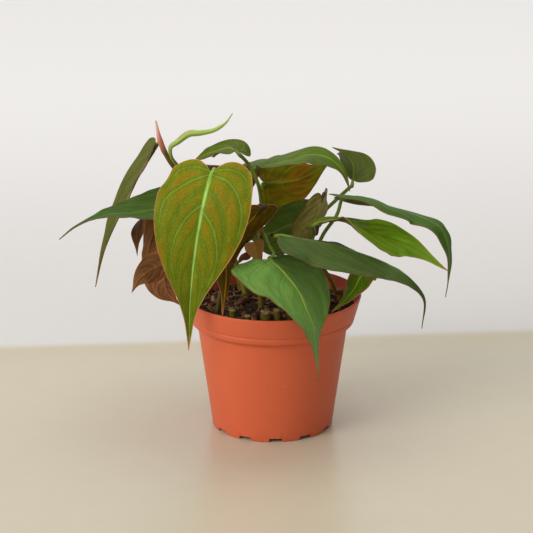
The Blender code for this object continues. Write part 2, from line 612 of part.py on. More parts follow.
def blade_sheet(spec, rows=LEAF_ROWS, columns=LEAF_COLUMNS):
    """Return the blade's mid-surface: points, triangles, and each point's share of half thickness."""
    points, shares, faces = [], [], []
    lookup = {}
    for hand in (1, -1):
        grid, root, v = half_blade(spec, hand, rows, columns)
        for row in range(rows):
            for column in range(columns + 1):
                at_tip = row == rows - 1
                on_rib = column == 0 or at_tip
                key = ("rib", round(root[row], 6)) if on_rib else (hand, row, column)
                if key not in lookup:
                    lookup[key] = len(points)
                    points.append(grid[row, 0 if on_rib else column])
                    shares.append(0.0 if at_tip else 1.0 - v[0, 0 if on_rib else column])
                lookup[hand, row, column] = lookup[key]
        for row in range(rows - 1):
            for column in range(columns):
                corners = [lookup[hand, row, column], lookup[hand, row + 1, column],
                           lookup[hand, row + 1, column + 1], lookup[hand, row, column + 1]]
                for pick in ((0, 1, 2), (0, 2, 3)):
                    face = [corners[k] for k in pick]
                    if len(set(face)) == 3:
                        faces.append(face if hand > 0 else face[::-1])
    return np.array(points), faces, np.array(shares)


def sheet_normals(points, faces):
    """Return area-weighted normals at the points."""
    normals = np.zeros_like(points)
    for a, b, c in faces:
        normal = np.cross(points[b] - points[a], points[c] - points[a])
        for corner in (a, b, c):
            normals[corner] += normal
    return normals / np.linalg.norm(normals, axis=1)[:, None]


def blade_solid(name, spec, material):
    """Thicken the mid-surface, with the same triangles on both faces."""
    points, faces, shares = blade_sheet(spec)
    normals = sheet_normals(points, faces)
    half = (BLADE_EDGE + (BLADE_RIB - BLADE_EDGE) * shares**2)[:, None] / 2
    count = len(points)
    solid_points = np.vstack([points + normals * half, points - normals * half])
    solid_faces = [tuple(face) for face in faces]
    solid_faces += [(a + count, c + count, b + count) for a, b, c in faces]
    ways = {(face[k], face[(k + 1) % 3]) for face in faces for k in range(3)}
    for a, b in sorted(ways):
        if (b, a) not in ways:
            solid_faces.append((b, a, a + count))
            solid_faces.append((b, a + count, b + count))
    return add_object(name, solid_points, solid_faces, material)


def stem_seat(stem, share, toward):
    """Return a point just clear of the stem on the side that faces toward, and that direction."""
    reach = STEM_RADIUS + (STEM_TIP_RADIUS - STEM_RADIUS) * share + CLEARANCE + SEAT_PLAY
    centre, way, _ = along_curve(stem_spots(STEMS[stem]), (share,))
    away = np.array(toward, float) - centre[0]
    away = unit(away - way[0] * away.dot(way[0]))
    return centre[0] + away * reach, away


def petiole_path(spec):
    """Return the petiole's middle line, from under the midrib to its seat on the stem."""
    origin, way, normal, _, _ = blade_frame(spec, np.array([RIB_REACH, 0.0]))
    under_rib = origin[0] - normal[0] * PETIOLE_TOP_RADIUS * RIB_SINK
    sinus = origin[1] - normal[1] * PETIOLE_TOP_RADIUS * SINUS_SINK - way[1] * PETIOLE_OVERRUN[0]
    last = spec["via"][-1] if spec["via"] else sinus
    seat, away = stem_seat(spec["stem"], spec["at"], last)
    behind = sinus - way[1] * PETIOLE_OVERRUN[1] - normal[1] * PETIOLE_DROP
    curve = smooth_curve([under_rib, sinus, behind, *spec["via"], seat + away * SEAT_RUN], PETIOLE_PACE)
    length = along_curve(curve, (0.0,))[2]
    count = max(4, round(length / PETIOLE_STEP) + 1)
    spots = np.vstack([along_curve(curve, np.linspace(0, 1, count))[0], seat])
    return spots, np.linspace(PETIOLE_TOP_RADIUS, PETIOLE_RADIUS, count + 1)


def build_leaves():
    finishes = {name: make_material(f"leaf_{name}", COLOURS[name], ROUGHNESS["leaf"])
                for name in ("olive", "green", "bright", "dark", "maroon")}
    for name, spec in LEAVES.items():
        blade = blade_solid(name, spec, finishes[spec["colour"]])
        spots, radii = petiole_path(spec)
        apply_boolean(blade, tube("petiole", spots, radii, PETIOLE_SIDES), "UNION")
    first = ROLLED_LEAF[0]
    seat, away = stem_seat(ROLLED_STEM, ROLLED_AT, first)
    radii = (ROLLED_RADII[0], ROLLED_RADII[0], *ROLLED_RADII)
    points = (seat, seat + away * SEAT_RUN, *ROLLED_LEAF)
    tube("leaf_rolled", points, radii, ROLLED_SIDES, finishes["bright"])


def shade_smooth():
    for made in bpy.context.collection.objects:
        made.data.shade_smooth()
        made.data.set_sharp_from_angle(angle=math.radians(40))


clear_scene()
build_pot()
build_soil()
build_stems()
build_leaves()
shade_smooth()
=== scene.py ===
"""Looks of the potted velvet leaf philodendron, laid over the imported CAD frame.

Shapes are worked out in millimetres, in the frame of the CAD, and become mesh points in metres.
Colours are written as the six hex digits of a screen colour.
"""
import math

import bmesh
import bpy
from mathutils import Euler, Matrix
import numpy as np


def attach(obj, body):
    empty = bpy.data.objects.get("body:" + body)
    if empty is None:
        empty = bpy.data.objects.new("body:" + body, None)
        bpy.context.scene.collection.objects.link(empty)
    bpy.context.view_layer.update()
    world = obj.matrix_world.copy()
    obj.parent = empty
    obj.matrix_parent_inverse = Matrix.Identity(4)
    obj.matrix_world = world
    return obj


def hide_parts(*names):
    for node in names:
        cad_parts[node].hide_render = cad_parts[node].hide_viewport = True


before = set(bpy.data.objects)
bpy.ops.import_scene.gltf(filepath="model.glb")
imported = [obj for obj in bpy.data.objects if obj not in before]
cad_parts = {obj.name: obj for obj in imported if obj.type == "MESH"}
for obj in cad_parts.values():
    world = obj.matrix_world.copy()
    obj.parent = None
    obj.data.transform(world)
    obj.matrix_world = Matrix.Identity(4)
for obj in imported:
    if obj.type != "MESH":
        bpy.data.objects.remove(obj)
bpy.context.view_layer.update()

MM = 0.001
FULL_TURN = 2 * math.pi

# Pot, as in the CAD
POT_HEIGHT = 83.0
RIM_RADIUS = 54.0
BAND_RADIUS = 49.4
BAND_BOTTOM = 66.5
GROOVE_HEIGHT = 70.0
WALL_TOP_RADIUS = 45.6
WALL_TOP = 63.6
BASE_RADIUS = 36.7
WALL = 1.3
FLOOR_TOP = 3.8
FLOOR_UNDERSIDE = 2.5
FOOT_INNER_RADIUS = 33.4
CENTRE_PAD_RADIUS = 12.0
NOTCH_COUNT = 12
NOTCH_WIDTH = 9.0
NOTCH_DEPTH = 9.0
NOTCH_HEIGHT = 2.4
NOTCH_TURN = 3.0
POT_SIDES = 180
SMOOTH_ANGLE = 50.0

# Potting mix
SOIL_TOP = 75.0
SOIL_SIDE = ((49.0, 71.0), (47.2, 66.0), (43.8, 62.0), (35.1, 4.2))
SOIL_RINGS = 90
SOIL_SPOKES = 260
CHIP_REACH = 47.0
FIBRE_REACH = 44.0
FIBRE_LIMIT = 47.5
FIBRE_POINTS = 10
LEAN = 0.5

# Stems and petioles, as in the CAD
STEM_RADIUS = 1.9
STEM_TIP_RADIUS = 1.5
STEM_STEP = 14.0
CLEARANCE = 0.35
SEAT_PLAY = 0.15
SEAT_RUN = 4.0
SEAT_SINK = 1.6
PETIOLE_RADIUS = 1.25
PETIOLE_TOP_RADIUS = 1.05
PETIOLE_PACE = 0.5
RIB_REACH = 0.09
FAN_END = 0.30
BASE_EASE = 0.18

# Fine surfaces: the grid of half a blade, half its thickness, how far its rim stands out, and the
# sides of round pieces. Open gap is the gap taken beyond the first and last vein.
ROWS = 104
COLUMNS = 28
HALF_BLADE = 0.2
RIM_BULGE = 0.16
TUBE_SIDES = 18
STEM_SIDES = 22
ROLLED_SIDES = 48
OPEN_GAP = 24.0

# Half a heart from the sinus round to the tip: shares of the half width and of the midrib's length,
# and the share of the length where it is widest
HEART = (
    (0.13, -0.055), (0.33, -0.100), (0.58, -0.095), (0.81, -0.035), (0.95, 0.06),
    (1.00, 0.17), (0.96, 0.29), (0.83, 0.41), (0.62, 0.53), (0.39, 0.64),
    (0.21, 0.74), (0.105, 0.83), (0.055, 0.91), (0.0, 1.0),
)
WIDEST = 0.165

# Side veins of half a blade: where each leaves the midrib, then three points that it passes,
# as share of the margin's reach and share of the length, then its width in mm and its strength.
VEINS = (
    (0.00, ((0.38, -0.030), (0.74, 0.000), (0.90, 0.110)), 0.75, 0.8),
    (0.01, ((0.42, 0.060), (0.80, 0.180), (0.93, 0.380)), 0.85, 1.0),
    (0.07, ((0.30, 0.150), (0.60, 0.310), (0.86, 0.560)), 0.45, 0.35),
    (0.17, ((0.30, 0.260), (0.62, 0.430), (0.86, 0.680)), 0.80, 0.9),
    (0.30, ((0.24, 0.400), (0.60, 0.570), (0.84, 0.780)), 0.50, 0.4),
    (0.46, ((0.25, 0.540), (0.60, 0.690), (0.80, 0.860)), 0.50, 0.45),
    (0.64, ((0.25, 0.700), (0.60, 0.800), (0.75, 0.900)), 0.35, 0.25),
)

# Stems: the points each one passes through, from its foot in the mix upward
STEMS = {
    "left": ((-14, 14, 58), (-17, 15, 80), (-29, 23, 110), (-44, 28, 138), (-57, 19, 154),
             (-64, 11, 167), (-68, 6, 179), (-70, 4, 190)),
    "centre": ((-6, -6, 58), (-7, -6, 80), (-8, -5, 105), (-7, -4, 124), (-8, -2, 133)),
    "right": ((14, 17, 58), (16, 18, 80), (21, 21, 104), (25, 22, 122)),
    "front": ((13, -8, 58), (14, -6, 80), (18, 0, 98), (21, 2, 110)),
    "back_left": ((-18, 27, 58), (-21, 29, 85), (-28, 34, 108), (-32, 36, 126)),
    "back_right": ((10, 33, 58), (11, 35, 85), (13, 38, 104), (14, 40, 116)),
    "low": ((41, 9, 68), (41, 9, 75), (42, 10, 82)),
}
GROWING_TIP = "left"

# Cut stems that end just above the mix: foot, top and radius
STUBS = (
    ((-24, -37, 68), (-24, -38, 85), 2.2),
    ((-15, -39, 68), (-15, -40, 82), 2.0),
    ((-4, -38, 68), (-4, -39, 84), 3.2),
    ((3, -40, 68), (3, -41, 86), 2.2),
    ((9, -36, 68), (10, -37, 82), 2.4),
    ((-36, -24, 68), (-31, -20, 90), 1.8),
)


def leaf(kind, width, stem, at, via, rib, facing, left_fold, right_fold=None, curve=0.0, lobe=1.0,
         skew=0.0, even=0.0):
    """Describe one leaf.

    Stem and at say where its petiole leaves, at as a share of the stem, and via gives the petiole's
    points from the blade down. Rib holds the midrib's points from the sinus to the tip, and facing
    the ways that the top faces, evenly spaced along it. Folds are the degrees that each half rises
    from flat, also evenly spaced, and curve bends the halves across. Lobe scales the lobes' reach
    behind the sinus, and skew slides the right half toward the base. Even is the share of the midrib
    over which its direction is evened out.
    """
    return dict(kind=kind, width=width, stem=stem, at=at, via=via, rib=rib, facing=facing,
                left_fold=left_fold, right_fold=right_fold or left_fold, curve=curve, lobe=lobe,
                skew=skew, even=even)


LEAVES = {
    "front_tall": leaf("olive", 57, "left", 0.66, ((-36, -16, 163), (-40, 6, 156)), ((-36, -31, 168),
        (-40, -41, 155), (-45, -46, 129), (-49, -46, 92), (-50, -45, 61)), ((-0.53, -0.83, -0.18),
        (0.04, -0.96, -0.28)), (26, 26, 36), (-8, 2, 9), curve=-0.015, lobe=0.62, skew=0.01),
    "left_long": leaf("green", 29, "left", 0.74, ((-66, 15, 168),), ((-71, 19, 171), (-74, 20, 164),
        (-81, 21, 152), (-88, 22, 137), (-103, 20, 104), (-109, 21, 80)), ((-0.57, -0.04, 0.82),
        (-0.83, -0.11, 0.55), (-0.84, -0.38, 0.4)), (16, 25, 40), (3, 7, 30), curve=0.007, lobe=0.29,
        skew=0.03),
    "left_reach": leaf("dark", 43, "left", 0.5, ((-40, 8, 139),), ((-48, 1, 138), (-63, -5, 139),
        (-80, -9, 137), (-101, -13, 136), (-118, -13, 129), (-128, -16, 122)), ((-0.11, -0.27, 0.96),
        (-0.08, -0.01, 1.0)), (0, 6, 4), (-5, 10, 14), curve=0.008, lobe=1.02, skew=-0.08),
    "left_small": leaf("maroon", 18, "back_left", 0.88, ((-62, 32, 129), (-46, 36, 126)), ((-77, 28, 128),
        (-83, 26, 110), (-83, 24, 99)), ((0.95, 0.0, -0.3), (0.17, 0.83, 0.53)), (4, 1, 6), (22, 10, -17),
        curve=-0.013, lobe=0.21, skew=-0.12),
    "left_strip": leaf("maroon", 21, "back_left", 0.74, ((-56, 17, 128), (-42, 28, 116)), ((-65, 8, 131),
        (-71, 9, 121), (-77, 5, 102), (-82, 4, 86)), ((0.62, 0.47, 0.63), (0.58, 0.74, 0.35)), (20, 23, 22),
        (5, 13, 20), curve=0.011, lobe=0.34, skew=-0.05),
    "left_fold": leaf("maroon", 24, "left", 0.3, ((-46, 2, 113),), ((-63, -17, 108), (-71, -18, 105),
        (-80, -18, 98), (-85, -15, 88)), ((0.13, 0.88, 0.46), (0.14, 0.86, 0.5), (0.16, 0.9, 0.4)), (0, 3, 3),
        (-6, 0, 3), curve=0.015, lobe=0.7, skew=0.1),
    "left_round": leaf("maroon", 25, "back_left", 0.45, ((-50, 14, 102),), ((-67, 4, 97), (-66, 5, 91),
        (-64, 6, 82), (-56, 9, 72)), ((0.23, 0.95, 0.21), (-0.04, 0.98, 0.18), (0.07, 0.96, 0.26)),
        (-5, 0, 0), (0, -1, 0), curve=-0.001, lobe=0.4, skew=-0.05),
    "top_centre": leaf("green", 28, "centre", 0.9, ((-14, 2, 163), (-9, 3, 152), (-7, 7, 140)),
        ((-22, -6, 175), (-26, -1, 175), (-33, 3, 172), (-41, 4, 169), (-48, 10, 163)), ((0.08, 0.27, 0.96),
        (-0.81, 0.02, 0.58), (-0.73, -0.42, 0.53)), (-28, 1, 9), (-20, -3, -3), curve=0.025, lobe=0.75,
        skew=-0.01, even=0.1),
    "right_back": leaf("green", 43, "centre", 0.78, ((-13, 12, 146), (-14, 6, 130)), ((-10, 20, 157),
        (11, 18, 162), (24, 19, 165), (35, 16, 163), (42, 12, 157), (47, 8, 145)), ((-0.8, 0.11, 0.6),
        (-0.29, -0.29, 0.91), (0.59, -0.59, 0.54)), (18, 22, 19), (2, -5, 13), curve=-0.009, lobe=0.28,
        skew=0.17, even=0.1),
    "right_under": leaf("olive", 36, "centre", 0.52, ((-5, 32, 129), (-8, 24, 112), (-9, 9, 100)),
        ((-4, 35, 142), (9, 41, 141), (23, 47, 144), (38, 48, 155)), ((0.13, 0.82, -0.56),
        (-0.05, 0.94, -0.35), (-0.03, 0.87, -0.5)), (2, 0, 0), (0, -4, -5), curve=0.004, skew=0.07),
    "right_lobe": leaf("dark", 29, "right", 0.96, ((47, 30, 141), (38, 31, 132), (31, 26, 126)),
        ((49, 22, 148), (49, 38, 154), (45, 49, 157), (37, 59, 159)), ((0.3, -0.19, 0.93),
        (0.23, -0.16, 0.96), (0.12, -0.16, 0.98)), (23, 34, 39), (34, 16, 15), curve=0.025, lobe=0.57,
        skew=-0.06, even=0.1),
    "right_long": leaf("green", 41, "front", 0.75, ((39, 9, 130), (30, 9, 116)), ((45, 5, 143), (60, -1, 143),
        (70, -3, 139), (85, -3, 134), (102, -10, 126), (106, -12, 114), (106, -11, 94), (105, -5, 82)),
        ((-0.19, 0.06, 0.98), (0.82, -0.38, 0.42)), (24, 9, -5), (-25, -11, 7), curve=-0.015, lobe=0.88,
        skew=0.03),
    "right_bright": leaf("bright", 50, "front", 0.94, ((25, -11, 125), (23, -5, 116)), ((27, -20, 134),
        (38, -18, 135), (59, -21, 128), (82, -22, 120), (105, -29, 106)), ((0.45, 0.22, 0.86),
        (0.49, -0.47, 0.74), (0.04, -0.98, 0.19)), (8, 8, -5), (-26, -12, 33), curve=0.016, lobe=0.27,
        skew=0.09),
    "right_dark": leaf("dark", 40, "low", 0.92, ((13, -17, 123), (25, -8, 109), (35, 0, 92)), ((4, -32, 130),
        (24, -34, 127), (49, -40, 122), (69, -41, 114), (82, -44, 106), (90, -43, 95), (89, -41, 74)),
        ((-0.68, 0.09, 0.73), (-0.01, -0.21, 0.98), (0.69, -0.39, 0.61)), (-17, -23, -12), (-21, -33, -27),
        curve=0.005, lobe=0.21, skew=0.05),
    "front_centre": leaf("green", 66, "centre", 0.84, ((1, -31, 117), (-2, -25, 121), (-6, -15, 126)),
        ((-1, -33, 115), (8, -45, 109), (16, -53, 100), (19, -58, 94), (24, -65, 83), (25, -66, 72),
        (27, -76, 54)), ((0.15, -0.49, 0.86), (0.48, -0.65, 0.59), (0.71, -0.68, 0.19)), (-6, 14, 40),
        (-27, -30, -27), curve=0.01, lobe=0.62, even=0.1),
    "mid_dark": leaf("maroon", 36, "centre", 0.97, ((-9, -6, 139),), ((-7, -22, 143), (-19, -26, 130),
        (-27, -28, 116), (-28, -34, 101), (-30, -40, 80)), ((-0.56, 0.57, 0.6), (-0.57, 0.68, 0.46),
        (-0.49, 0.76, 0.42)), (-3, 3, 4), (7, 8, 12), curve=-0.002, lobe=0.42, skew=-0.11, even=0.1),
    "mid_green": leaf("dark", 30, "right", 0.84, ((24, 27, 126),), ((19, 24, 120), (11, 21, 120),
        (-2, 13, 117), (-22, 10, 117)), ((0.34, -0.78, 0.52), (0.19, -0.92, 0.35), (0.1, -0.92, 0.37)),
        (-4, 0, 0), (0, -7, 0), curve=0.019, lobe=0.68, skew=-0.23),
    "mid_brown": leaf("maroon", 25, "right", 0.9, ((30, 20, 136),), ((30, 16, 139), (28, 13, 131),
        (20, 8, 120), (16, 6, 99)), ((-0.32, 0.8, 0.5), (-0.09, 0.86, 0.5), (-0.26, 0.92, 0.28)),
        (33, 15, 22), (-14, -5, 3), curve=0.018, lobe=0.84, skew=-0.12),
    "low_right": leaf("olive", 25, "right", 0.52, ((48, 19, 101), (34, 20, 100)), ((59, 6, 96), (54, 3, 93),
        (50, -4, 88), (43, -13, 82), (35, -17, 76)), ((-0.46, -0.4, 0.79), (-0.66, -0.53, 0.53),
        (-0.38, -0.79, 0.48)), (1, -7, 0), (0, 5, 5), curve=-0.017, lobe=0.63, skew=-0.07),
    "mid_sheath": leaf("maroon", 13, "centre", 0.76, ((-8, -11, 118),), ((-11, -18, 121), (-10, -20, 117),
        (-9, -22, 113), (-7, -24, 108)), ((-0.2, -1.0, 0.2), (-0.2, -1.0, 0.2)), (20, 25), lobe=0.3),
    "mid_curl": leaf("maroon", 15, "centre", 0.55, ((-11, -10, 107),), ((-13, -13, 112), (-15, -16, 110),
        (-18, -18, 110), (-22, -19, 107)), ((0.0, 0.8, 0.6), (0.0, 0.8, 0.6)), (25, 25)),
    "back_left": leaf("green", 38, "back_left", 0.96, ((-41, 40, 134),), ((-47, 44, 136), (-58, 56, 127),
        (-67, 66, 110), (-70, 70, 90)), ((-0.5, 0.5, 0.8), (-0.6, 0.8, 0.2)), (8, 8)),
    "back_tall": leaf("olive", 40, "back_left", 0.9, ((-29, 47, 134),), ((-27, 56, 146), (-27, 72, 138),
        (-28, 84, 116), (-30, 89, 86)), ((0.0, 0.5, 0.85), (0.0, 1.0, 0.1)), (6, 10)),
    "back_right": leaf("green", 36, "back_right", 0.95, ((12, 43, 117),), ((10, 46, 114), (10, 57, 109),
        (10, 69, 99), (9, 79, 85)), ((0.0, 0.5, 0.85), (0.0, 0.9, 0.4)), (6, 10)),
    "back_side": leaf("dark", 32, "back_right", 0.6, ((21, 41, 94),), ((28, 46, 95), (35, 57, 93),
        (42, 68, 87), (46, 76, 77)), ((0.2, 0.3, 0.95), (0.4, 0.8, 0.5)), (8, 10)),
    "back_low": leaf("dark", 32, "back_left", 0.55, ((-31, 43, 98),), ((-36, 50, 99), (-42, 59, 92),
        (-46, 65, 78), (-47, 67, 64)), ((-0.3, 0.6, 0.8), (-0.4, 0.9, 0.1)), (8, 10)),
}

# The youngest leaf is still rolled: a thin spindle on its petiole, as points and radii
ROLLED_LEAF = ((-61, 5, 168), (-61, 4, 174), (-57, 4, 177), (-50, 4, 182), (-43, 3, 183), (-35, 2, 185),
               (-28, 0, 190), (-24, -2, 196))
ROLLED_RADII = (1.0, 1.1, 1.5, 1.9, 1.9, 1.4, 1.0, 0.5)
ROLLED_STEM = "left"
ROLLED_AT = 0.76

COLOURS = ("blade", "tinge", "vein", "rib", "under", "under_tinge", "under_vein", "under_rib", "margin")


def make_look(colours, **values):
    """Return a kind's look from its nine colours, in the order of COLOURS, and its other values."""
    return {**dict(zip(COLOURS, colours.split())), **values}


# What a kind or a leaf doesn't set: how much of its colours shows, how much painted shade lies along its
# vein grooves (swell), how it shines, its petiole's lower and upper colour, its tints, which carry its own
# colour and painted light together, and the relief of its quilting, swells and rippled margin in mm
BASE_LOOK = {
    "tinge_show": 0.8, "vein_show": 0.7, "rib_show": 0.9, "rib_end": 0.8, "rib_wide": 1.3, "swell": 0.2,
    "under_streak": 0.35, "rough": 0.42, "shine": 0.1, "sheen": 0.02, "stalk": ("708a30", "76562c"),
    "tint_and_light": (1, 1, 1), "under_tint_and_light": (1, 1, 1), "relief": (0.35, 0.35, 0.5),
}
KINDS = {
    "olive": make_look("627a16 806414 7eae6c 94d49e 5c4a16 74421a 606a1e 6e6e32 c48462", vein_show=0.65,
        rib_wide=1.5, rib_end=0.6, tinge_show=0.7, sheen=0.0, shine=0.05),
    "green": make_look("4a7630 5e682c 689848 8ab85c 68482c 543e1e 7c5638 76603a 7a5834", vein_show=0.5,
        rib_show=0.8, tinge_show=0.6, rough=0.46),
    "bright": make_look("548c22 628422 42761e 305c1e 784e30 604a1e 88603a 78643c 967c38", vein_show=0.6,
        rib_show=0.7, rib_wide=1.0, tinge_show=0.5, sheen=0.0, shine=0.08),
    "dark": make_look("385a2e 425228 547a42 5c8446 643e2a 4c321c 7c5038 705438 684c30", vein_show=0.45,
        rib_show=0.6, tinge_show=0.6, sheen=0.03, shine=0.12, rough=0.5),
    "maroon": make_look("405424 5c4a24 60763a 6e8046 704432 563422 885842 7c563a 805036", vein_show=0.35,
        rib_show=0.5, tinge_show=0.5, rough=0.48),
}

# What sets single leaves apart from their kind. A tint multiplies the colours of one side; it is partly the
# leaf's own colour and partly painted light that brightens or dims that side for how light falls on it, as
# front_centre's lifts the shade that right_dark casts on it.
# A strip is a painted edge: where it starts and is full, in mm from the midrib, and its colour.
OWN_LOOKS = {
    "front_tall": dict(stalk=("7eb242", "92c454"), tint_and_light=(1.1, 0.87, 0.37)),
    "left_long": dict(strip=(0.4, 2.0, "68402e"), tint_and_light=(1.23, 0.56, 0.49)),
    "left_reach": dict(tint_and_light=(1.21, 0.96, 0.4)),
    "left_small": dict(under_tint_and_light=(0.5, 0.48, 0.12)),
    "left_strip": dict(under_tint_and_light=(0.8, 0.71, 0.12)),
    "left_fold": dict(under_tint_and_light=(1.25, 1.45, 0.9)),
    "left_round": dict(under_tint_and_light=(1.29, 1.45, 1.08), relief=(0.6, 0.4, 0.4)),
    "top_centre": dict(stalk=("6c8222", "766a26"), margin="603e1c", tint_and_light=(1.13, 0.68, 0.12),
        under_tint_and_light=(2.4, 2.1, 0.5)),
    "right_back": dict(tint_and_light=(1.11, 0.75, 0.25)),
    # right_under's underside colours are olive green: its own bronze mixed with painted light, the green of
    # light shining through the blade.
    "right_under": dict(under="565a0e", under_tinge="704212", under_vein="5a5a11", under_rib="5c5e14",
        margin="582c1e", under_streak=0.1, stalk=("78881a", "70801a"), under_tint_and_light=(1.77, 2.25, 0.12)),
    "right_lobe": dict(tint_and_light=(1.48, 0.82, 0.28)),
    "right_long": dict(tint_and_light=(0.72, 0.68, 0.12), under_tint_and_light=(0.85, 1.9, 0.9)),
    "right_bright": dict(stalk=("68802c", "70a432"), tint_and_light=(1.71, 1.05, 0.79), under_tint_and_light=(0.65, 1.4, 0.8)),
    "right_dark": dict(tint_and_light=(1.43, 0.98, 0.67), under_tint_and_light=(1.2, 0.6, 0.8)),
    "front_centre": dict(blade="467e3a", tinge="548038", vein="68a254", rib="90be5c", sheen=0.05, shine=0.22,
        swell=0.1, vein_show=0.4, rib_show=0.75, rib_end=0.3, tint_and_light=(2.1, 1.38, 1.02)),
    "mid_dark": dict(under="3a2812", under_tinge="2c200c", under_vein="423416", margin="ba7052",
        stalk=("3c280e", "34240e"), under_tint_and_light=(3.45, 4, 0.45)),
    "mid_green": dict(tint_and_light=(2.23, 1.43, 0.64)),
    "mid_brown": dict(stalk=("604224", "543a20"), under_tint_and_light=(1.66, 3.81, 1.76)),
    "low_right": dict(tint_and_light=(1.12, 1.12, 0.12)),
    "mid_sheath": dict(blade="967046", tinge="7c5430", vein="a88258", rib="9c784e", under="8c643e",
        under_tinge="744c2c", margin="c47860", vein_show=0.5, tint_and_light=(1.46, 1.46, 0.84)),
    "mid_curl": dict(blade="7e5830", tinge="6e4224", vein="8c683e", rib="906e42", under="825434",
        under_tinge="683e24", relief=(0.3, 1.0, 1.2)),
}

# Camera, stage and light
CAMERA = (-0.00365, -1.7119, 0.6392)
CAMERA_AIM = (-0.00365, 0.0, 0.100)
LAMP_AIM = (0.0, 0.0, 0.09)
FLOOR_SIZE = 6.0
# How far behind the part the floor turns to wall, at 0.16 m to its left and to its right
WALL_LINE = (0.140, 0.171)
WALL_LINE_SPAN = 0.32
# Light from around: direction, cosines where it starts and is full, and its dark and bright strength.
# The first is the open window side, the second the pale wall behind.
WORLD_GLOWS = (
    ((-0.70, -0.50, 0.51), -0.7, 1.0, 0.14, 0.84),
    ((0.0, 1.0, 0.25), 0.55, 0.95, 0.0, 0.80),
)
# Lamps: name, place, size, power and colour
LAMPS = (
    ("key", (-2.6, -2.2, 1.8), 2.4, 83.0, (1.0, 0.985, 0.96)),
    ("top", (0.7, 0.8, 3.0), 2.6, 26.0, (1.0, 1.0, 1.0)),
)


# Vectors, curves and smooth steps

def unit(vectors, least=0.0):
    """Return a vector, or each row of vectors, at length one."""
    return vectors / np.maximum(np.linalg.norm(vectors, axis=-1, keepdims=True), least)


def hermite(knots, at, fine):
    """Return points on the smooth curve through knots, which sit at the values at."""
    slopes = np.gradient(knots, at, axis=0)
    piece = np.clip(np.searchsorted(at, fine, side="right") - 1, 0, len(at) - 2)
    gap = (at[piece + 1] - at[piece])[:, None]
    t = (fine - at[piece])[:, None] / gap
    return ((2 * t**3 - 3 * t**2 + 1) * knots[piece] + (t**3 - 2 * t**2 + t) * gap * slopes[piece]
            + (3 * t**2 - 2 * t**3) * knots[piece + 1] + (t**3 - t**2) * gap * slopes[piece + 1])


def run_of(path, pace=1.0):
    """Return how far along a path each of its points lies."""
    return np.concatenate([[0.0], np.cumsum(np.linalg.norm(np.diff(path, axis=0), axis=1)**pace)])


def smooth_curve(points, pace=1.0, samples=160):
    """Return close points on a smooth curve through the given points."""
    knots = np.array(points, float)
    at = run_of(knots, pace)
    return hermite(knots, at, np.linspace(0.0, at[-1], samples))


def along_curve(curve, shares):
    """Return the points and unit directions at shares of a curve's length, and the length."""
    run = run_of(curve)
    at = np.asarray(shares, float) * run[-1]
    slopes = np.gradient(curve, run, axis=0)
    points, ways = (np.stack([np.interp(at, run, values[:, k]) for k in range(3)], axis=1)
                    for values in (curve, slopes))
    return points, unit(ways), run[-1]


def resampled(curve, count):
    """Return evenly spaced points along a curve."""
    return along_curve(curve, np.linspace(0, 1, count))[0]


def blurred(values, times):
    """Return values with each one evened with its neighbours, the ends kept."""
    values = values.copy()
    for _ in range(times):
        values[1:-1] = (values[:-2] + 2 * values[1:-1] + values[2:]) / 4
    return values


def stem_spots(points):
    """Return evenly spaced points along a stem, as the CAD has them."""
    curve = smooth_curve(points)
    return resampled(curve, max(4, round(run_of(curve)[-1] / STEM_STEP) + 1))


def stem_seat(stem, share, toward):
    """Return a point just clear of the stem on the side that faces toward, and that direction."""
    reach = STEM_RADIUS + (STEM_TIP_RADIUS - STEM_RADIUS) * share + CLEARANCE + SEAT_PLAY
    centre, way, _ = along_curve(stem_spots(STEMS[stem]), (share,))
    away = np.array(toward, float) - centre[0]
    away = unit(away - way[0] * away.dot(way[0]))
    return centre[0] + away * reach, away


def steps(value, low, high):
    """Return a smooth rise from 0 at low to 1 at high."""
    t = np.clip((value - low) / (high - low), 0.0, 1.0)
    return t * t * (3 - 2 * t)


def bell(value, width):
    return np.exp(-(value / width)**2)


def wander(x, y, dice, size, waves=5):
    """Return a gentle uneven height between about -1 and 1 from a few crossing waves of a size in mm."""
    total = np.zeros_like(x)
    for _ in range(waves):
        heading = dice.uniform(0, math.pi)
        pitch = size * dice.uniform(0.7, 1.5)
        phase = dice.uniform(0, FULL_TURN)
        total += np.sin((x * math.cos(heading) + y * math.sin(heading)) * FULL_TURN / pitch + phase)
    return total / math.sqrt(2 * waves)


# Mesh making

def put(name, data):
    """Make an object of the data in the scene."""
    made = bpy.data.objects.new(name, data)
    bpy.context.scene.collection.objects.link(made)
    return made


def enlist(piece, node=None):
    """Let a piece ride on the body and replace a node."""
    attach(piece, "root")
    if node:
        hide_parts(node)


def add_piece(name, points, faces, materials, slot, node=None, picks=None, fields=None):
    """Make a smooth piece from points in mm; picks give each face's material, fields each point's values."""
    mesh = bpy.data.meshes.new(name)
    mesh.from_pydata([tuple(point) for point in np.asarray(points, float) * MM], [], faces)
    for material in materials:
        mesh.materials.append(material)
    if picks is not None:
        mesh.polygons.foreach_set("material_index", np.asarray(picks, np.int32))
    for field, values in (fields or {}).items():
        values = np.asarray(values, np.float32)
        kind, key = ("FLOAT_VECTOR", "vector") if values.ndim == 2 else ("FLOAT", "value")
        mesh.attributes.new(field, kind, "POINT").data.foreach_set(key, values.ravel())
    mesh.shade_smooth()
    mesh.update()
    enlist(put(name, mesh), node)


def joined(parts):
    """Return the points and faces of several parts, given as pairs, as one."""
    faces, base = [], 0
    for points, part_faces in parts:
        faces += [tuple(number + base for number in face) for face in part_faces]
        base += len(points)
    return np.vstack([points for points, _ in parts]), faces


def tube_faces(count, sides, mirrored=False):
    """Return the faces of count rings of points, closed by the two points that follow the rings."""
    faces, top, end = [], (count - 1) * sides, count * sides
    for low in range(0, top, sides):
        for k in range(sides):
            after = (k + 1) % sides
            faces.append((low + k, low + after, low + sides + after, low + sides + k))
    for k in range(sides):
        after = (k + 1) % sides
        faces += [(after, k, end), (top + k, top + after, end + 1)]
    return [(face[0], *face[:0:-1]) for face in faces] if mirrored else faces


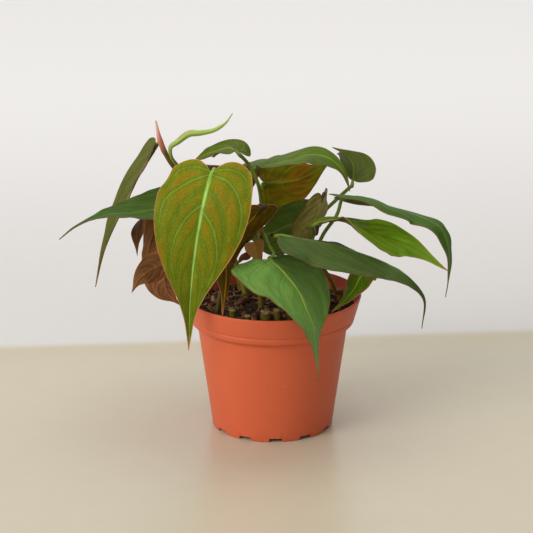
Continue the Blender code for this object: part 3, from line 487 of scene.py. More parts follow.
def sweep(path, radii, sides):
    """Return points, faces, each point's run in mm and its way round, for a closed tube along a path."""
    path = np.asarray(path, float)
    ways = unit(np.gradient(path, axis=0))
    run = run_of(path)
    side = unit(np.cross(ways[0], (0.3, 0.9, 0.1)))
    turn = np.linspace(0, FULL_TURN, sides, endpoint=False)
    rings = []
    for centre, way, radius in zip(path, ways, radii):
        side = unit(side - way * side.dot(way))
        rings.append(centre + radius * np.cos(turn)[:, None] * side
                     + radius * np.sin(turn)[:, None] * np.cross(way, side))
    points = np.concatenate(rings + [path[:1], path[-1:]])
    runs = np.concatenate([np.repeat(run, sides), [run[0], run[-1]]])
    around = np.concatenate([np.tile(turn, len(path)), [0.0, 0.0]])
    return points, tube_faces(len(path), sides), runs, around


def rounded_ends(path, radii, rings=5):
    """Add rings that round off both ends of a tube over about one radius."""
    angles = np.linspace(0, math.pi / 2, rings + 1)[:-1]
    for _ in range(2):
        way = unit(path[0] - path[1])
        path = np.vstack([[path[0] + way * radii[0] * math.cos(a) for a in angles], path])[::-1]
        radii = np.concatenate([[radii[0] * max(math.sin(a), 0.03) for a in angles], radii])[::-1]
    return path, radii


# Leaves

def outline(count, lobe):
    """Return across and along at a count of places on half of a smooth heart."""
    knots = np.array(HEART)
    points = hermite(knots, np.linspace(0.0, 1.0, len(knots)), np.linspace(0.0, 1.0, count))
    along = points[:, 1]
    return points[:, 0].clip(0.0, None), np.where(along < 0, along * lobe, along)


def flat_grid(lobe):
    """Return across and along for each row and column of half a blade, and its roots on the midrib."""
    edge_across, edge_along = outline(ROWS, lobe)
    root = np.clip((edge_along - FAN_END) / (1.0 - FAN_END), 0.0, None)
    lead = edge_along - root
    bend = np.interp(lead, (-0.12, FAN_END), (0.55, 0.12))
    v = np.linspace(0.0, 1.0, COLUMNS + 1)[None, :]
    across = 2 * v * (1 - v) * 0.62 * edge_across[:, None] + v**2 * edge_across[:, None]
    middle = (root + bend * lead)[:, None]
    along = (1 - v)**2 * root[:, None] + 2 * v * (1 - v) * middle + v**2 * edge_along[:, None]
    return across, along, root


def even_way(curve, shares, run):
    """Return the curve's direction evened out over a run, so that a bent leaf's margins stay smooth."""
    ahead = along_curve(curve, np.clip(shares + run, 0.0, 1.0))[0]
    behind = along_curve(curve, np.clip(shares - run, 0.0, 1.0))[0]
    return unit(ahead - behind)


def blade_frame(spec, along):
    """Return origin, rib direction, normal, side direction and length at shares of the midrib."""
    curve = smooth_curve(spec["rib"])
    inside = np.clip(along, 0.0, 1.0)
    origin, way, length = along_curve(curve, inside)
    if spec["even"]:
        way = even_way(curve, inside, spec["even"])
    origin = origin + way * ((along - inside) * length)[:, None]
    facing = spread([unit(np.array(facing, float)) for facing in spec["facing"]], eased(along))
    normal = unit(facing - way * np.sum(facing * way, axis=1)[:, None])
    return origin, way, normal, np.cross(normal, way), length


def spread(values, along):
    """Return the value at shares of the length, from two or three evenly spaced ones."""
    values = np.array(values, float)
    inside = np.clip(along, 0.0, 1.0)
    if values.ndim > 1:
        inside = inside[:, None]
    if len(values) == 2:
        return values[0] + (values[1] - values[0]) * inside
    base, middle, tip = values
    return base + (4 * middle - 3 * base - tip) * inside + 2 * (base - 2 * middle + tip) * inside**2


def eased(along):
    """Return shares of the length that stop gently at the sinus, so that lobes leave no crease."""
    low = (along + BASE_EASE)**2 / (4 * BASE_EASE)
    return np.where(along > BASE_EASE, along, np.where(along > -BASE_EASE, low, 0.0))


def half_blade(spec, hand, across, along):
    """Return mid-surface points for flat places on one half; hand is 1 for the right and -1 for the left."""
    flat_across = (across * spec["width"] / 2).ravel()
    flat_along = (along - hand * spec["skew"] * across).ravel()
    origin, _, normal, side, length = blade_frame(spec, flat_along)
    folds = spec["right_fold"] if hand > 0 else spec["left_fold"]
    fold = np.radians(spread(folds, eased(flat_along)))
    bow = spec["curve"] or 1e-6
    out = (np.sin(fold + bow * flat_across) - np.sin(fold)) / bow
    rise = (np.cos(fold) - np.cos(fold + bow * flat_across)) / bow
    points = origin + side * (hand * out)[:, None] + normal * rise[:, None]
    return points.reshape(*across.shape, 3), length


def reach_at(along, lobe):
    """Return the margin's reach across at a share of the length in front of the widest place."""
    edge_across, edge_along = outline(400, lobe)
    ahead = edge_along > WIDEST
    return np.interp(along, edge_along[ahead], edge_across[ahead]) if along > WIDEST else 0.98


def vein_lines(spec, length, hand, dice):
    """Return the side veins of one half as close points in flat mm, with their widths and strengths."""
    lines = []
    for root, passes, width, strength in VEINS:
        shift = dice.uniform(-0.02, 0.02) + (0.03 if hand > 0 and root > 0.05 else 0.0)
        knots = [(0.0, max(0.0, root + shift) if root > 0.05 else root, 0.0)]
        for share, along in passes:
            along = along * spec["lobe"] if along < 0 else along + shift * (1 - along)
            knots.append((share * reach_at(along, spec["lobe"]), along, 0.0))
        line = smooth_curve([(a * spec["width"] / 2, s * length, z) for a, s, z in knots], 1.0, 90)
        lines.append((line[:, :2], width, strength * dice.uniform(0.85, 1.1)))
    return lines


def vein_fields(flat, lines):
    """Return for flat points in mm: place in the fan of veins, gap between veins, width and strength."""
    away, past, share = [], [], []
    for line, _, _ in lines:
        delta = flat[:, None, :] - line[None, :, :]
        distance = np.einsum("ijk,ijk->ij", delta, delta)
        near = distance.argmin(axis=1)
        way = np.gradient(line, axis=0)[near]
        offset = flat - line[near]
        past.append(way[:, 0] * offset[:, 1] - way[:, 1] * offset[:, 0] > 0)
        away.append(np.sqrt(distance[np.arange(len(flat)), near]))
        share.append(near / (len(line) - 1.0))
    away, share = np.array(away), np.array(share)
    order = np.array(past).sum(axis=0)
    last = len(lines) - 1
    low, high = np.clip(order - 1, 0, last), np.clip(order, 0, last)
    pick = np.arange(len(flat))
    below, above = away[low, pick], away[high, pick]
    gap = np.maximum(below + above, 0.05)
    place = low + below / gap
    gap = np.where((order == 0) | (order == last + 1), OPEN_GAP, gap)
    most = OPEN_GAP / 2 - 0.5
    place = np.where(order == 0, -np.minimum(below, most) / OPEN_GAP, place)
    place = np.where(order == last + 1, last + np.minimum(above, most) / OPEN_GAP, place)
    nearest = np.where(below < above, low, high)
    widths, strengths = (np.array(values)[nearest] for values in list(zip(*lines))[1:])
    reach = share[nearest, pick]
    return place, gap, widths * (1 - 0.55 * reach), strengths * (1 - steps(reach, 0.8, 1.0))


def build_half(spec, hand, dice):
    """Return one half's points and the fields of each point, as row by column arrays, and its roots."""
    across, along, root = flat_grid(spec["lobe"])
    points, length = half_blade(spec, hand, across, along)
    flat = np.stack([across.ravel() * spec["width"] / 2, along.ravel() * length], axis=1)
    place, gap, width, strength = vein_fields(flat, vein_lines(spec, length, hand, dice))
    edge_across, edge_along = outline(500, spec["lobe"])
    margin = np.stack([edge_across * spec["width"] / 2, edge_along * length], axis=1)
    rim = np.vstack([margin, np.linspace(0.0, 1.0, 30)[:, None] * margin[0]])
    to_edge = np.concatenate([np.sqrt(((some[:, None, :] - rim[None])**2).sum(axis=2)).min(axis=1)
                              for some in np.array_split(flat, 6)])
    fields = {
        "leaf": np.stack([hand * flat[:, 0], flat[:, 1], np.full(len(flat), spec["seed"])], axis=1),
        "rib": flat[:, 0], "edge": to_edge, "along": along.ravel(), "vein_at": place, "vein_gap": gap,
        "vein_width": width * strength, "vein_away": np.abs(place - np.round(place)) * gap,
        "vein_strength": strength,
    }
    shape = across.shape
    return points, {key: value.reshape(*shape, *value.shape[1:]) for key, value in fields.items()}, root


def number_halves(root):
    """Return the point numbers of the right and left halves, which share the midrib and the tip."""
    rib = np.cumsum(np.concatenate([[0], (np.diff(root) > 1e-7).astype(int)]))
    shared = rib[-1] + 1
    inner = (ROWS - 1) * COLUMNS
    numbers = []
    for start in (shared, shared + inner):
        grid = np.empty((ROWS, COLUMNS + 1), int)
        grid[:, 0] = rib
        grid[:-1, 1:] = start + np.arange(inner).reshape(ROWS - 1, COLUMNS)
        grid[-1, :] = rib[-1]
        numbers.append(grid)
    return numbers, shared + 2 * inner


def sheet_faces(numbers):
    """Return the faces of both halves, with corners that fall together taken once."""
    faces = []
    for hand, grid in zip((1, -1), numbers):
        for low, high in zip(grid[:-1].tolist(), grid[1:].tolist()):
            for k in range(COLUMNS):
                face = tuple(dict.fromkeys((low[k], high[k], high[k + 1], low[k + 1])))
                if len(face) > 2:
                    faces.append(face[::hand])
    return faces


def sheet_normals(points, faces):
    """Return each point's normal, from the faces round it."""
    corners = np.array([(*face, face[-1]) if len(face) == 3 else face for face in faces])
    a, b, c, d = (points[corners[:, k]] for k in range(4))
    face_normals = np.cross(c - a, d - b)
    flat = np.linalg.norm(face_normals, axis=1)[:, None] < 1e-12
    face_normals = np.where(flat, np.cross(b - a, c - a), face_normals)
    normals = np.zeros_like(points)
    for k in range(4):
        np.add.at(normals, corners[:, k], face_normals)
    return unit(normals, 1e-12)


def rim_loop(numbers):
    """Return the numbers round the blade's edge, from the junction by the right side and the tip."""
    right, left = (grid.tolist() for grid in numbers)
    loop = right[0][:-1] + [row[-1] for row in right]
    return loop + [row[-1] for row in left[-2::-1]] + left[0][-2:0:-1]


def leaf_surface(spec, relief):
    """Return the blade's points, faces, material picks and fields."""
    dice = np.random.default_rng(int(spec["seed"] * 100) + 7)
    halves = [build_half(spec, hand, dice) for hand in (1, -1)]
    numbers, count = number_halves(halves[0][2])
    points = np.zeros((count, 3))
    fields = {key: np.zeros((count, *value.shape[2:])) for key, value in halves[0][1].items()}
    for (grid, half_fields, _), number in zip(reversed(halves), reversed(numbers)):
        points[number.ravel()] = grid.reshape(-1, 3)
        for key, value in half_fields.items():
            fields[key][number.ravel()] = value.reshape(-1, *value.shape[2:])
    faces = sheet_faces(numbers)
    normals = sheet_normals(points, faces)

    rib, edge, along = fields["rib"], fields["edge"], fields["along"]
    x, y = fields["leaf"][:, 0], fields["leaf"][:, 1]
    away, strength = fields["vein_away"], fields["vein_strength"]
    quilt = np.sin(np.clip(away / 4.5, 0, 1) * math.pi / 2) * steps(rib, 0.5, 4.0) * steps(edge, 0.0, 3.0)
    swell = wander(x, y, dice, 26.0) * steps(rib, 0.0, 9.0)
    ripple = wander(x, y, dice, 13.0) * (1 - steps(edge, 0.0, 7.0)) * steps(rib, 0.0, 8.0)
    bulge = relief[0] * quilt + relief[1] * swell + relief[2] * ripple
    taper = 1 - 0.75 * np.clip(along, 0.0, 1.0)**0.8
    vein_dent = bell(away, 0.55) * strength * steps(edge, 0.3, 2.0)
    groove = 0.34 * bell(rib, 1.1 * taper + 0.25) * taper
    ridge = 0.85 * bell(rib, 0.95 * taper + 0.2) * taper
    top = HALF_BLADE + bulge - groove - 0.09 * vein_dent
    under = -HALF_BLADE + bulge - ridge * steps(along, -0.02, 0.05) - 0.16 * vein_dent
    upper = points + normals * top[:, None]
    lower = points + normals * under[:, None]

    loop = rim_loop(numbers)
    tangent = points[np.roll(loop, -1)] - points[np.roll(loop, 1)]
    outward = unit(np.cross(tangent, normals[loop]), 1e-9)
    brink = (upper[loop] + lower[loop]) / 2 + outward * RIM_BULGE

    solid_faces = faces + [tuple(number + count for number in reversed(face)) for face in faces]
    picks = [0] * len(faces) + [1] * len(faces)
    for k, here in enumerate(loop):
        after = (k + 1) % len(loop)
        there = loop[after]
        solid_faces += [(there, here, 2 * count + k, 2 * count + after),
                        (2 * count + after, 2 * count + k, here + count, there + count)]
        picks += [0, 1]
    solid_fields = {key: np.concatenate([value, value, value[loop]]) for key, value in fields.items()}
    return np.vstack([upper, lower, brink]), solid_faces, picks, solid_fields


def petiole_line(spec):
    """Return the petiole's middle line from under the midrib into the stem, its radii and its length."""
    origin, way, normal, _, _ = blade_frame(spec, np.array([RIB_REACH, 0.0]))
    under_rib = origin[0] - normal[0] * PETIOLE_TOP_RADIUS * 0.55
    sinus = origin[1] - normal[1] * PETIOLE_TOP_RADIUS * 0.75 - way[1] * 0.4
    seat, away = stem_seat(spec["stem"], spec["at"], spec["via"][-1])
    behind = sinus - way[1] * 2.5 - normal[1] * 0.8
    curve = smooth_curve([under_rib, sinus, behind, *spec["via"], seat + away * SEAT_RUN], PETIOLE_PACE)
    curve = np.vstack([curve, seat + away * 2.0, seat - away * 0.2, seat - away * SEAT_SINK])
    length = run_of(curve)[-1]
    count = max(24, round(length / 0.9))
    run = np.linspace(0, length, count)
    radii = np.interp(run, (0.0, 4.0, 9.0, length), (0.35, 0.85, PETIOLE_TOP_RADIUS, PETIOLE_RADIUS))
    radii = radii + 0.22 * bell(run - 8.0, 3.5) + 0.75 * bell(length - run - 1.0, 3.0)
    return blurred(resampled(curve, count), 3), radii, length


def build_leaf(name, spec, relief, materials):
    """Make a leaf: its blade and petiole in one piece."""
    points, faces, picks, fields = leaf_surface(spec, relief)
    path, radii, length = petiole_line(spec)
    stalk, stalk_faces, runs, around = sweep(path, radii, TUBE_SIDES)
    points, faces = joined([(points, faces), (stalk, stalk_faces)])
    extra = {key: np.full((len(stalk), *value.shape[1:]), 9.0) for key, value in fields.items()}
    extra["leaf"] = np.stack([around, runs, np.full(len(stalk), spec["seed"])], axis=1)
    extra["along"] = runs / length
    fields = {key: np.concatenate([value, extra[key]]) for key, value in fields.items()}
    del fields["vein_away"], fields["vein_strength"]
    add_piece("blade_" + name, points, faces, materials, "leaf_" + spec["kind"], "leaf_" + name,
              picks + [2] * len(stalk_faces), fields)


# Materials

def rgb(code):
    """Return the linear colour of a screen colour."""
    parts = [int(code[k:k + 2], 16) for k in (0, 2, 4)]
    return tuple(((c / 255 + 0.055) / 1.055)**2.4 if c > 10 else c / 255 / 12.92 for c in parts) + (1.0,)


class Value:
    """A node's output, with the arithmetic that the paints use."""

    def __init__(self, paint, socket):
        self.paint, self.socket = paint, socket

    def __add__(self, other):
        return self.paint.math("ADD", self, other)

    def __sub__(self, other):
        return self.paint.math("SUBTRACT", self, other)

    def __mul__(self, other):
        return self.paint.math("MULTIPLY", self, other)

    def rise(self, low, high, start=0.0, end=1.0):
        """Return a smooth step from start at low to end at high."""
        inputs = {"Value": self, "From Min": low, "From Max": high, "To Min": start, "To Max": end}
        return self.paint.node("MapRange", 0, inputs, interpolation_type="SMOOTHSTEP")


class Paint:
    """A node tree of a material or world, with short calls for the nodes used here."""

    def __init__(self, owner):
        owner.use_nodes = True
        self.owner, self.tree = owner, owner.node_tree

    def feed(self, socket, value):
        if isinstance(value, Value):
            self.tree.links.new(value.socket, socket)
        else:
            socket.default_value = rgb(value) if isinstance(value, str) else value

    def node(self, kind, output, inputs, **settings):
        made = self.tree.nodes.new("ShaderNode" + kind)
        for key, value in settings.items():
            setattr(made, key, value)
        for key, value in inputs.items():
            self.feed(made.inputs[key], value)
        return Value(self, made.outputs[output])

    def math(self, operation, *values):
        return self.node("Math", 0, dict(enumerate(values)), operation=operation)

    def field(self, name, output="Fac"):
        return self.node("Attribute", output, {}, attribute_name=name)

    def place(self, output="Object"):
        return self.node("TexCoord", output, {})

    def part(self, vector, axis):
        return self.node("SeparateXYZ", axis, {0: vector})

    def noise(self, vector, scale, detail=3.0, roughness=0.5, stretch=None):
        if stretch:
            vector = self.node("Mapping", 0, {"Vector": vector, "Scale": stretch})
        inputs = {"Vector": vector, "Scale": scale, "Detail": detail, "Roughness": roughness}
        return self.node("TexNoise", "Fac", inputs)

    def cells(self, vector, scale, feature="F1"):
        return self.node("TexVoronoi", "Distance", {"Vector": vector, "Scale": scale}, feature=feature)

    def mix(self, share, first, second, blend="MIX"):
        return self.node("Mix", 2, {0: share, 6: first, 7: second}, data_type="RGBA", blend_type=blend)

    def layered(self, colour, *layers):
        """Return the colour with others laid over it, each given after its share."""
        for share, shown in layers:
            colour = self.mix(share, colour, shown)
        return colour

    def shaded(self, colour, shade):
        """Return the colour multiplied by a grey."""
        grey = self.node("CombineColor", 0, {0: shade, 1: shade, 2: shade})
        return self.mix(1.0, colour, grey, "MULTIPLY")

    def bump(self, *layers):
        """Return the normal of one or more bumps, each a height, a strength and a depth in mm."""
        after = {}
        for height, strength, depth in layers:
            inputs = {"Height": height, "Strength": strength, "Distance": depth * MM, **after}
            after = {"Normal": self.node("Bump", 0, inputs)}
        return after["Normal"]

    def finish(self, colour, roughness, normal, flesh=None, **more):
        """Set the shader; flesh is the weight and the reach in mm of light that passes through it."""
        inputs = {"Base_Color": colour, "Roughness": roughness, "Normal": normal, **more}
        if flesh:
            inputs |= {"Subsurface_Weight": flesh[0], "Subsurface_Radius": flesh[1], "Subsurface_Scale": MM}
        for key, value in inputs.items():
            self.feed(self.tree.nodes["Principled BSDF"].inputs[key.replace("_", " ")], value)
        return self.owner


def new_paint(name):
    return Paint(bpy.data.materials.new(name))


def vein_mask(paint, soft):
    """Return how much of a side vein a point is, and how far in mm it lies from the vein."""
    turned = paint.math("FRACT", paint.field("vein_at") + 0.5)
    away = paint.math("ABSOLUTE", turned - 0.5) * paint.field("vein_gap")
    return away.rise(paint.field("vein_width") * soft, 0.0), away


def rib_mask(paint, base, tip):
    """Return how much of the midrib a point is; base and tip are its half widths there in mm."""
    width = paint.field("along").rise(0.0, 1.0, base, tip)
    return paint.field("rib").rise(width, width * 0.25)


def top_paint(name, look):
    """Make the velvety upper side of a leaf."""
    paint = new_paint(name)
    spot, along = paint.field("leaf", "Vector"), paint.field("along")
    vein, away = vein_mask(paint, 1.3)
    rib = rib_mask(paint, look["rib_wide"], 0.35)
    broad = paint.noise(spot, 0.05, 2.0)
    streak = paint.noise(spot, 0.35, 3.0, stretch=(1.0, 0.25, 1.0))
    pile = paint.noise(spot, 5.0, 2.0, 0.7)
    net = paint.cells(spot, 0.55, "DISTANCE_TO_EDGE")

    between = away.rise(0.6, 4.0) * paint.field("rib").rise(0.8, 5.0)
    patch = between * (broad + streak * 0.6).rise(0.50, 0.95)
    rib_share = along.rise(0.3, 0.9, look["rib_show"], look["rib_show"] * look["rib_end"])
    colour = paint.layered(
        look["blade"], (patch * look["tinge_show"], look["tinge"]),
        (net.rise(0.12, 0.0, 0.0, 0.22), look["vein"]), (vein * look["vein_show"], look["vein"]),
        (rib * rib_share, look["rib"]), (along.rise(0.90, 1.0) * 0.55, look["margin"]))
    # Painted shade: the colour is darker along the side veins' grooves and lighter on the swells between
    # them, by as much as the look's swell sets.
    swell = away.rise(0.3, 3.2, 0.0, look["swell"]) + streak.rise(0.35, 0.65, -0.06, 0.08)
    colour = paint.shaded(colour, pile * 0.30 + 0.72 + swell)
    colour = paint.mix(paint.field("edge").rise(0.55, 0.15), colour, look["margin"])
    if "strip" in look:
        start, end, brown = look["strip"]
        colour = paint.mix(paint.part(spot, 0).rise(start, end), colour, brown)

    height = vein * -0.6 + net.rise(0.15, 0.0) * -0.25
    return paint.finish(
        colour, streak * 0.14 + look["rough"], paint.bump((height, 0.5, 0.12), (pile, 0.35, 0.06)),
        (0.12, (0.9, 1.2, 0.3)), Specular_IOR_Level=look["shine"], Sheen_Weight=look["sheen"],
        Sheen_Roughness=0.35, Sheen_Tint="cde1be")


def under_paint(name, look):
    """Make the bronze under side of a leaf, where the veins stand out."""
    paint = new_paint(name)
    spot = paint.field("leaf", "Vector")
    vein, away = vein_mask(paint, 1.5)
    broad = paint.noise(spot, 0.06, 2.0)
    streak = paint.noise(spot, 0.3, 3.0, stretch=(1.0, 0.3, 1.0))
    pile = paint.noise(spot, 4.0, 2.0, 0.7)
    net = paint.cells(spot, 0.5, "DISTANCE_TO_EDGE")

    colour = paint.layered(
        look["under"], ((broad + streak * 0.4).rise(0.45, 0.95), look["under_tinge"]),
        (away.rise(0.2, 2.4, look["under_streak"], 0.0), look["under_vein"]),
        (net.rise(0.10, 0.0, 0.0, 0.25), look["under_vein"]), (vein * 0.45, look["under_vein"]),
        (rib_mask(paint, 1.2, 0.4) * 0.7, look["under_rib"]))
    colour = paint.shaded(colour, pile * 0.24 + 0.85 + streak.rise(0.35, 0.65, -0.16, 0.22))
    colour = paint.mix(paint.field("edge").rise(0.55, 0.15), colour, look["margin"])
    height = vein + net.rise(0.15, 0.0) * 0.4
    return paint.finish(
        colour, 0.5, paint.bump((height, 0.5, 0.15), (pile, 0.3, 0.06)), (0.15, (1.2, 0.7, 0.3)),
        Specular_IOR_Level=0.12, Sheen_Weight=0.02, Sheen_Roughness=0.4, Sheen_Tint="e1bea5")


def stalk_paint(name, low, high, mark, shift=0.5, sheath=None):
    """Make a stem or petiole skin that goes from one colour to another along its run.

    Sheath is the share of the run at which a young tip's sheath starts, and its lower and upper colour.
    """
    paint = new_paint(name)
    spot, along = paint.field("leaf", "Vector"), paint.field("along")
    ridge = paint.noise(spot, 1.0, 3.0, stretch=(3.0, 0.12, 1.0))
    blotch = paint.noise(spot, 0.8, 3.0, stretch=(0.6, 0.25, 1.0))
    speck = paint.noise(spot, 2.2, 2.0, stretch=(2.0, 2.0, 1.0))
    colour = paint.layered(
        low, ((along + blotch * 0.5).rise(shift, shift + 0.6), high), (ridge.rise(0.5, 0.75, 0.0, 0.5), mark),
        (speck.rise(0.62, 0.75, 0.0, 0.5), mark))
    if sheath:
        start, lower, upper = sheath
        colour = paint.layered(colour, (along.rise(start, start + 0.05), lower),
                               (along.rise(start + 0.06, 1.0), upper))
    normal = paint.bump((ridge, 0.5, 0.12), (speck, 0.3, 0.08))
    return paint.finish(colour, 0.42, normal, (0.15, (0.8, 1.2, 0.3)), Specular_IOR_Level=0.2)


def rolled_paint():
    """Make the fresh yellow-green of a leaf that is still rolled, with its fine close veins."""
    paint = new_paint("rolled_leaf")
    spot, along = paint.field("leaf", "Vector"), paint.field("along")
    lines = paint.noise(spot, 1.0, 3.0, stretch=(1.2, 0.10, 1.0))
    patch = paint.noise(spot, 0.18, 2.0)
    colour = paint.layered(
        "788232", (along.rise(0.12, 0.5), "8eac3a"), (lines.rise(0.45, 0.65, 0.0, 0.5), "b6c85c"),
        (patch.rise(0.5, 0.7, 0.0, 0.4), "968c3c"), (paint.field("seam").rise(0.9, 0.2), "ba7850"),
        (along.rise(0.93, 1.0, 0.0, 0.7), "be825a"))
    return paint.finish(colour, 0.4, paint.bump((lines, 0.5, 0.2)), (0.2, (1.0, 1.3, 0.3)), Sheen_Weight=0.15)


def pot_paint():
    """Make matt moulded plastic with flow mottling, a fine satin grain and darker brown patches on its lowest
    12 mm.
    """
    paint = new_paint("pot_plastic")
    place = paint.place()
    flow = paint.noise(place, 28.0, 4.0, 0.6, stretch=(1.0, 1.0, 0.35))
    grain = paint.noise(place, 2600.0, 2.0, 0.6)
    scuff = paint.noise(place, 90.0, 5.0, 0.7, stretch=(1.0, 1.0, 4.0))
    foot_patches = paint.noise(place, 420.0, 3.0, 0.65)
    # Darker brown in patches towards the foot, on the lowest 12 mm of the pot.
    low = paint.part(place, 2).rise(0.012, 0.0) * foot_patches.rise(0.5, 0.7)
    colour = paint.layered("c15632", (flow, "d3613b"), (scuff.rise(0.60, 0.78, 0.0, 0.30), "e28260"),
                           (low * 0.35, "784630"))
    normal = paint.bump((grain, 0.22, 0.05), (flow, 0.15, 0.6))
    return paint.finish(colour, scuff * 0.2 + 0.36, normal, Specular_IOR_Level=0.4)


def soil_paint():
    """Make damp dark potting mix."""
    paint = new_paint("soil_mix")
    place = paint.place()
    fine = paint.noise(place, 900.0, 4.0, 0.7)
    broad = paint.noise(place, 70.0, 3.0)
    colour = paint.layered("201308", (fine.rise(0.35, 0.7), "4e3216"),
                           (broad.rise(0.5, 0.75, 0.0, 0.5), "62411e"))
    normal = paint.bump((paint.cells(place, 420.0), 0.8, 1.2), (fine, 0.7, 0.5))
    return paint.finish(colour, 0.85, normal, Specular_IOR_Level=0.25)


def chip_paint(name, dark, light):
    """Make a bit of bark or fibre that lies in the mix."""
    paint = new_paint(name)
    place = paint.place()
    grain = paint.noise(place, 500.0, 4.0, 0.6, stretch=(1.0, 1.0, 2.5))
    patch = paint.noise(place, 160.0, 2.0)
    colour = paint.layered(dark, (grain.rise(0.3, 0.7), light), (patch.rise(0.55, 0.7, 0.0, 0.6), dark))
    return paint.finish(colour, 0.8, paint.bump((grain, 0.7, 0.4)))


def floor_paint():
    """Make a pale beige floor that turns to the off-white wall colour behind a far line; the wall carries
    painted shade, darker near the line and lightening over 0.75 m behind it.
    """
    paint = new_paint("floor_and_wall")
    place = paint.place()
    left, right = WALL_LINE
    line = paint.part(place, 0) * ((right - left) / WALL_LINE_SPAN) + (left + right) / 2
    past = paint.part(place, 1) - line
    grain = paint.noise(place, 60.0, 3.0)
    floor = paint.mix(grain, "c5bba3", "cac0a9")
    # Painted shade: the wall is a darker grey near the line and lightens to off-white 0.75 m behind it.
    wall_with_painted_shade = paint.mix(past.rise(0.0, 0.75), paint.mix(grain, "d4d1ce", "d7d4d1"), "eeeceb")
    return paint.finish(paint.mix(past.rise(-0.006, 0.010), floor, wall_with_painted_shade), past.rise(-0.05, 0.02, 0.30, 0.7),
                        paint.bump((grain, 0.05, 0.5)), Specular_IOR_Level=0.5)


# Pot and potting mix

def arc(radius, height, size, start, end):
    """Return six profile points on an arc of a size round a place, angles in degrees."""
    return [(radius + size * math.cos(math.radians(a)), height + size * math.sin(math.radians(a)))
            for a in np.linspace(start, end, 6)]


def beside(radius, height, *offsets):
    """Return profile points at offsets from one place."""
    return [(radius + out, height + up) for out, up in offsets]


def pot_profile():
    """Return the pot's outline from the middle of its underside round the rim to its floor."""
    taper = (RIM_RADIUS - BAND_RADIUS) / (POT_HEIGHT - BAND_BOTTOM)
    groove = BAND_RADIUS + taper * (GROOVE_HEIGHT - BAND_BOTTOM)
    lip, inner_lip, gap = 0.42, 0.252, 0.8
    profile = [
        (0.0, 0.0), *beside(CENTRE_PAD_RADIUS, 0.0, (-0.4, 0.0), (0.0, 0.25), (0.9, FLOOR_UNDERSIDE)),
        *beside(FOOT_INNER_RADIUS, FLOOR_UNDERSIDE, (-0.8, 0.0), (-0.5, -0.25)),
        *beside(FOOT_INNER_RADIUS, 0.0, (-0.1, 0.2), (0.2, 0.0)),
        *beside(BASE_RADIUS, 0.0, (-0.8, 0.0), (-0.25, 0.18), (0.0, gap)),
    ]
    for height in np.linspace(6.0, WALL_TOP - 2.0, 12):
        share = (height - gap) / (WALL_TOP - gap)
        profile.append((BASE_RADIUS + (WALL_TOP_RADIUS - BASE_RADIUS) * share, height))
    profile += beside(WALL_TOP_RADIUS, WALL_TOP, (0.0, -0.3), (0.35, 0.45))
    profile += beside(BAND_RADIUS, BAND_BOTTOM, (-1.3, -0.85), (-0.5, -0.5), (-0.1, -0.1), (0.12, 0.4))
    profile += beside(groove, GROOVE_HEIGHT, (-0.20, -0.95), (-0.18, -0.6), (-0.42, -0.2), (-0.40, 0.05),
                      (0.02, 0.35), (0.25, 0.75))
    for share in (0.2, 0.4, 0.6, 0.8):
        height = GROOVE_HEIGHT + gap + share * (POT_HEIGHT - GROOVE_HEIGHT - 2 * gap)
        profile.append((BAND_RADIUS + taper * (height - BAND_BOTTOM) + 0.08, height))
    profile += arc(RIM_RADIUS - lip, POT_HEIGHT - lip, lip, -10, 90)
    profile += arc(RIM_RADIUS - WALL + inner_lip, POT_HEIGHT - inner_lip, inner_lip, 90, 180)
    return profile + [(BAND_RADIUS - WALL, BAND_BOTTOM), (WALL_TOP_RADIUS - WALL, WALL_TOP - WALL),
                      (BASE_RADIUS - WALL, FLOOR_TOP), (0.0, FLOOR_TOP)]


def worked(name, work):
    """Make an object of a worked mesh."""
    mesh = bpy.data.meshes.new(name)
    work.to_mesh(mesh)
    work.free()
    return put(name, mesh)


def build_pot():
    work = bmesh.new()
    corners = [work.verts.new((radius * MM, 0.0, height * MM)) for radius, height in pot_profile()]
    edges = [work.edges.new(pair) for pair in zip(corners, corners[1:])]
    bmesh.ops.spin(work, geom=corners + edges, cent=(0, 0, 0), axis=(0, 0, 1), angle=FULL_TURN,
                   steps=POT_SIDES, use_merge=True)
    bmesh.ops.remove_doubles(work, verts=work.verts, dist=0.004 * MM)
    bmesh.ops.recalc_face_normals(work, faces=work.faces)
    pot = worked("nursery_pot", work)
    cut_notches(pot)
    pot.data.materials.append(pot_paint())
    pot.data.shade_smooth()
    pot.data.set_sharp_from_angle(angle=math.radians(SMOOTH_ANGLE))
    enlist(pot, "pot")


def cut_notches(pot):
    """Cut the drainage notches round the foot, narrower at the top."""
    work = bmesh.new()
    for k in range(NOTCH_COUNT):
        turn = FULL_TURN * k / NOTCH_COUNT + math.radians(NOTCH_TURN)
        for vertex in bmesh.ops.create_cube(work, size=1.0)["verts"]:
            x, y, z = vertex.co
            x = x * NOTCH_WIDTH * (0.86 if z > 0 else 1.0)
            y = y * NOTCH_DEPTH - (BASE_RADIUS - 1.0)
            vertex.co = ((x * math.cos(turn) - y * math.sin(turn)) * MM,
                         (x * math.sin(turn) + y * math.cos(turn)) * MM, z * 2 * NOTCH_HEIGHT * MM)
    cutter = worked("notches", work)
    modifier = pot.modifiers.new("notches", "BOOLEAN")
    modifier.operation = "DIFFERENCE"
    modifier.solver = "EXACT"
    modifier.object = cutter
    cut = bpy.data.meshes.new_from_object(pot.evaluated_get(bpy.context.evaluated_depsgraph_get()))
    pot.modifiers.remove(modifier)
    pot.data = cut
    bpy.data.objects.remove(cutter, do_unlink=True)


def soil_height(x, y):
    """Return the height of the mix over places in mm."""
    x, y = np.atleast_1d(x), np.atleast_1d(y)
    dice = np.random.default_rng(5)
    height = SOIL_TOP + 0.9 * wander(x, y, dice, 30.0) + 0.9 * wander(x, y, dice, 12.0, 7)
    height += 0.55 * wander(x, y, dice, 5.5, 9) + 0.35 * wander(x, y, dice, 2.6, 12)
    return height - 0.8 * steps(np.hypot(x, y), 40.0, 49.0)


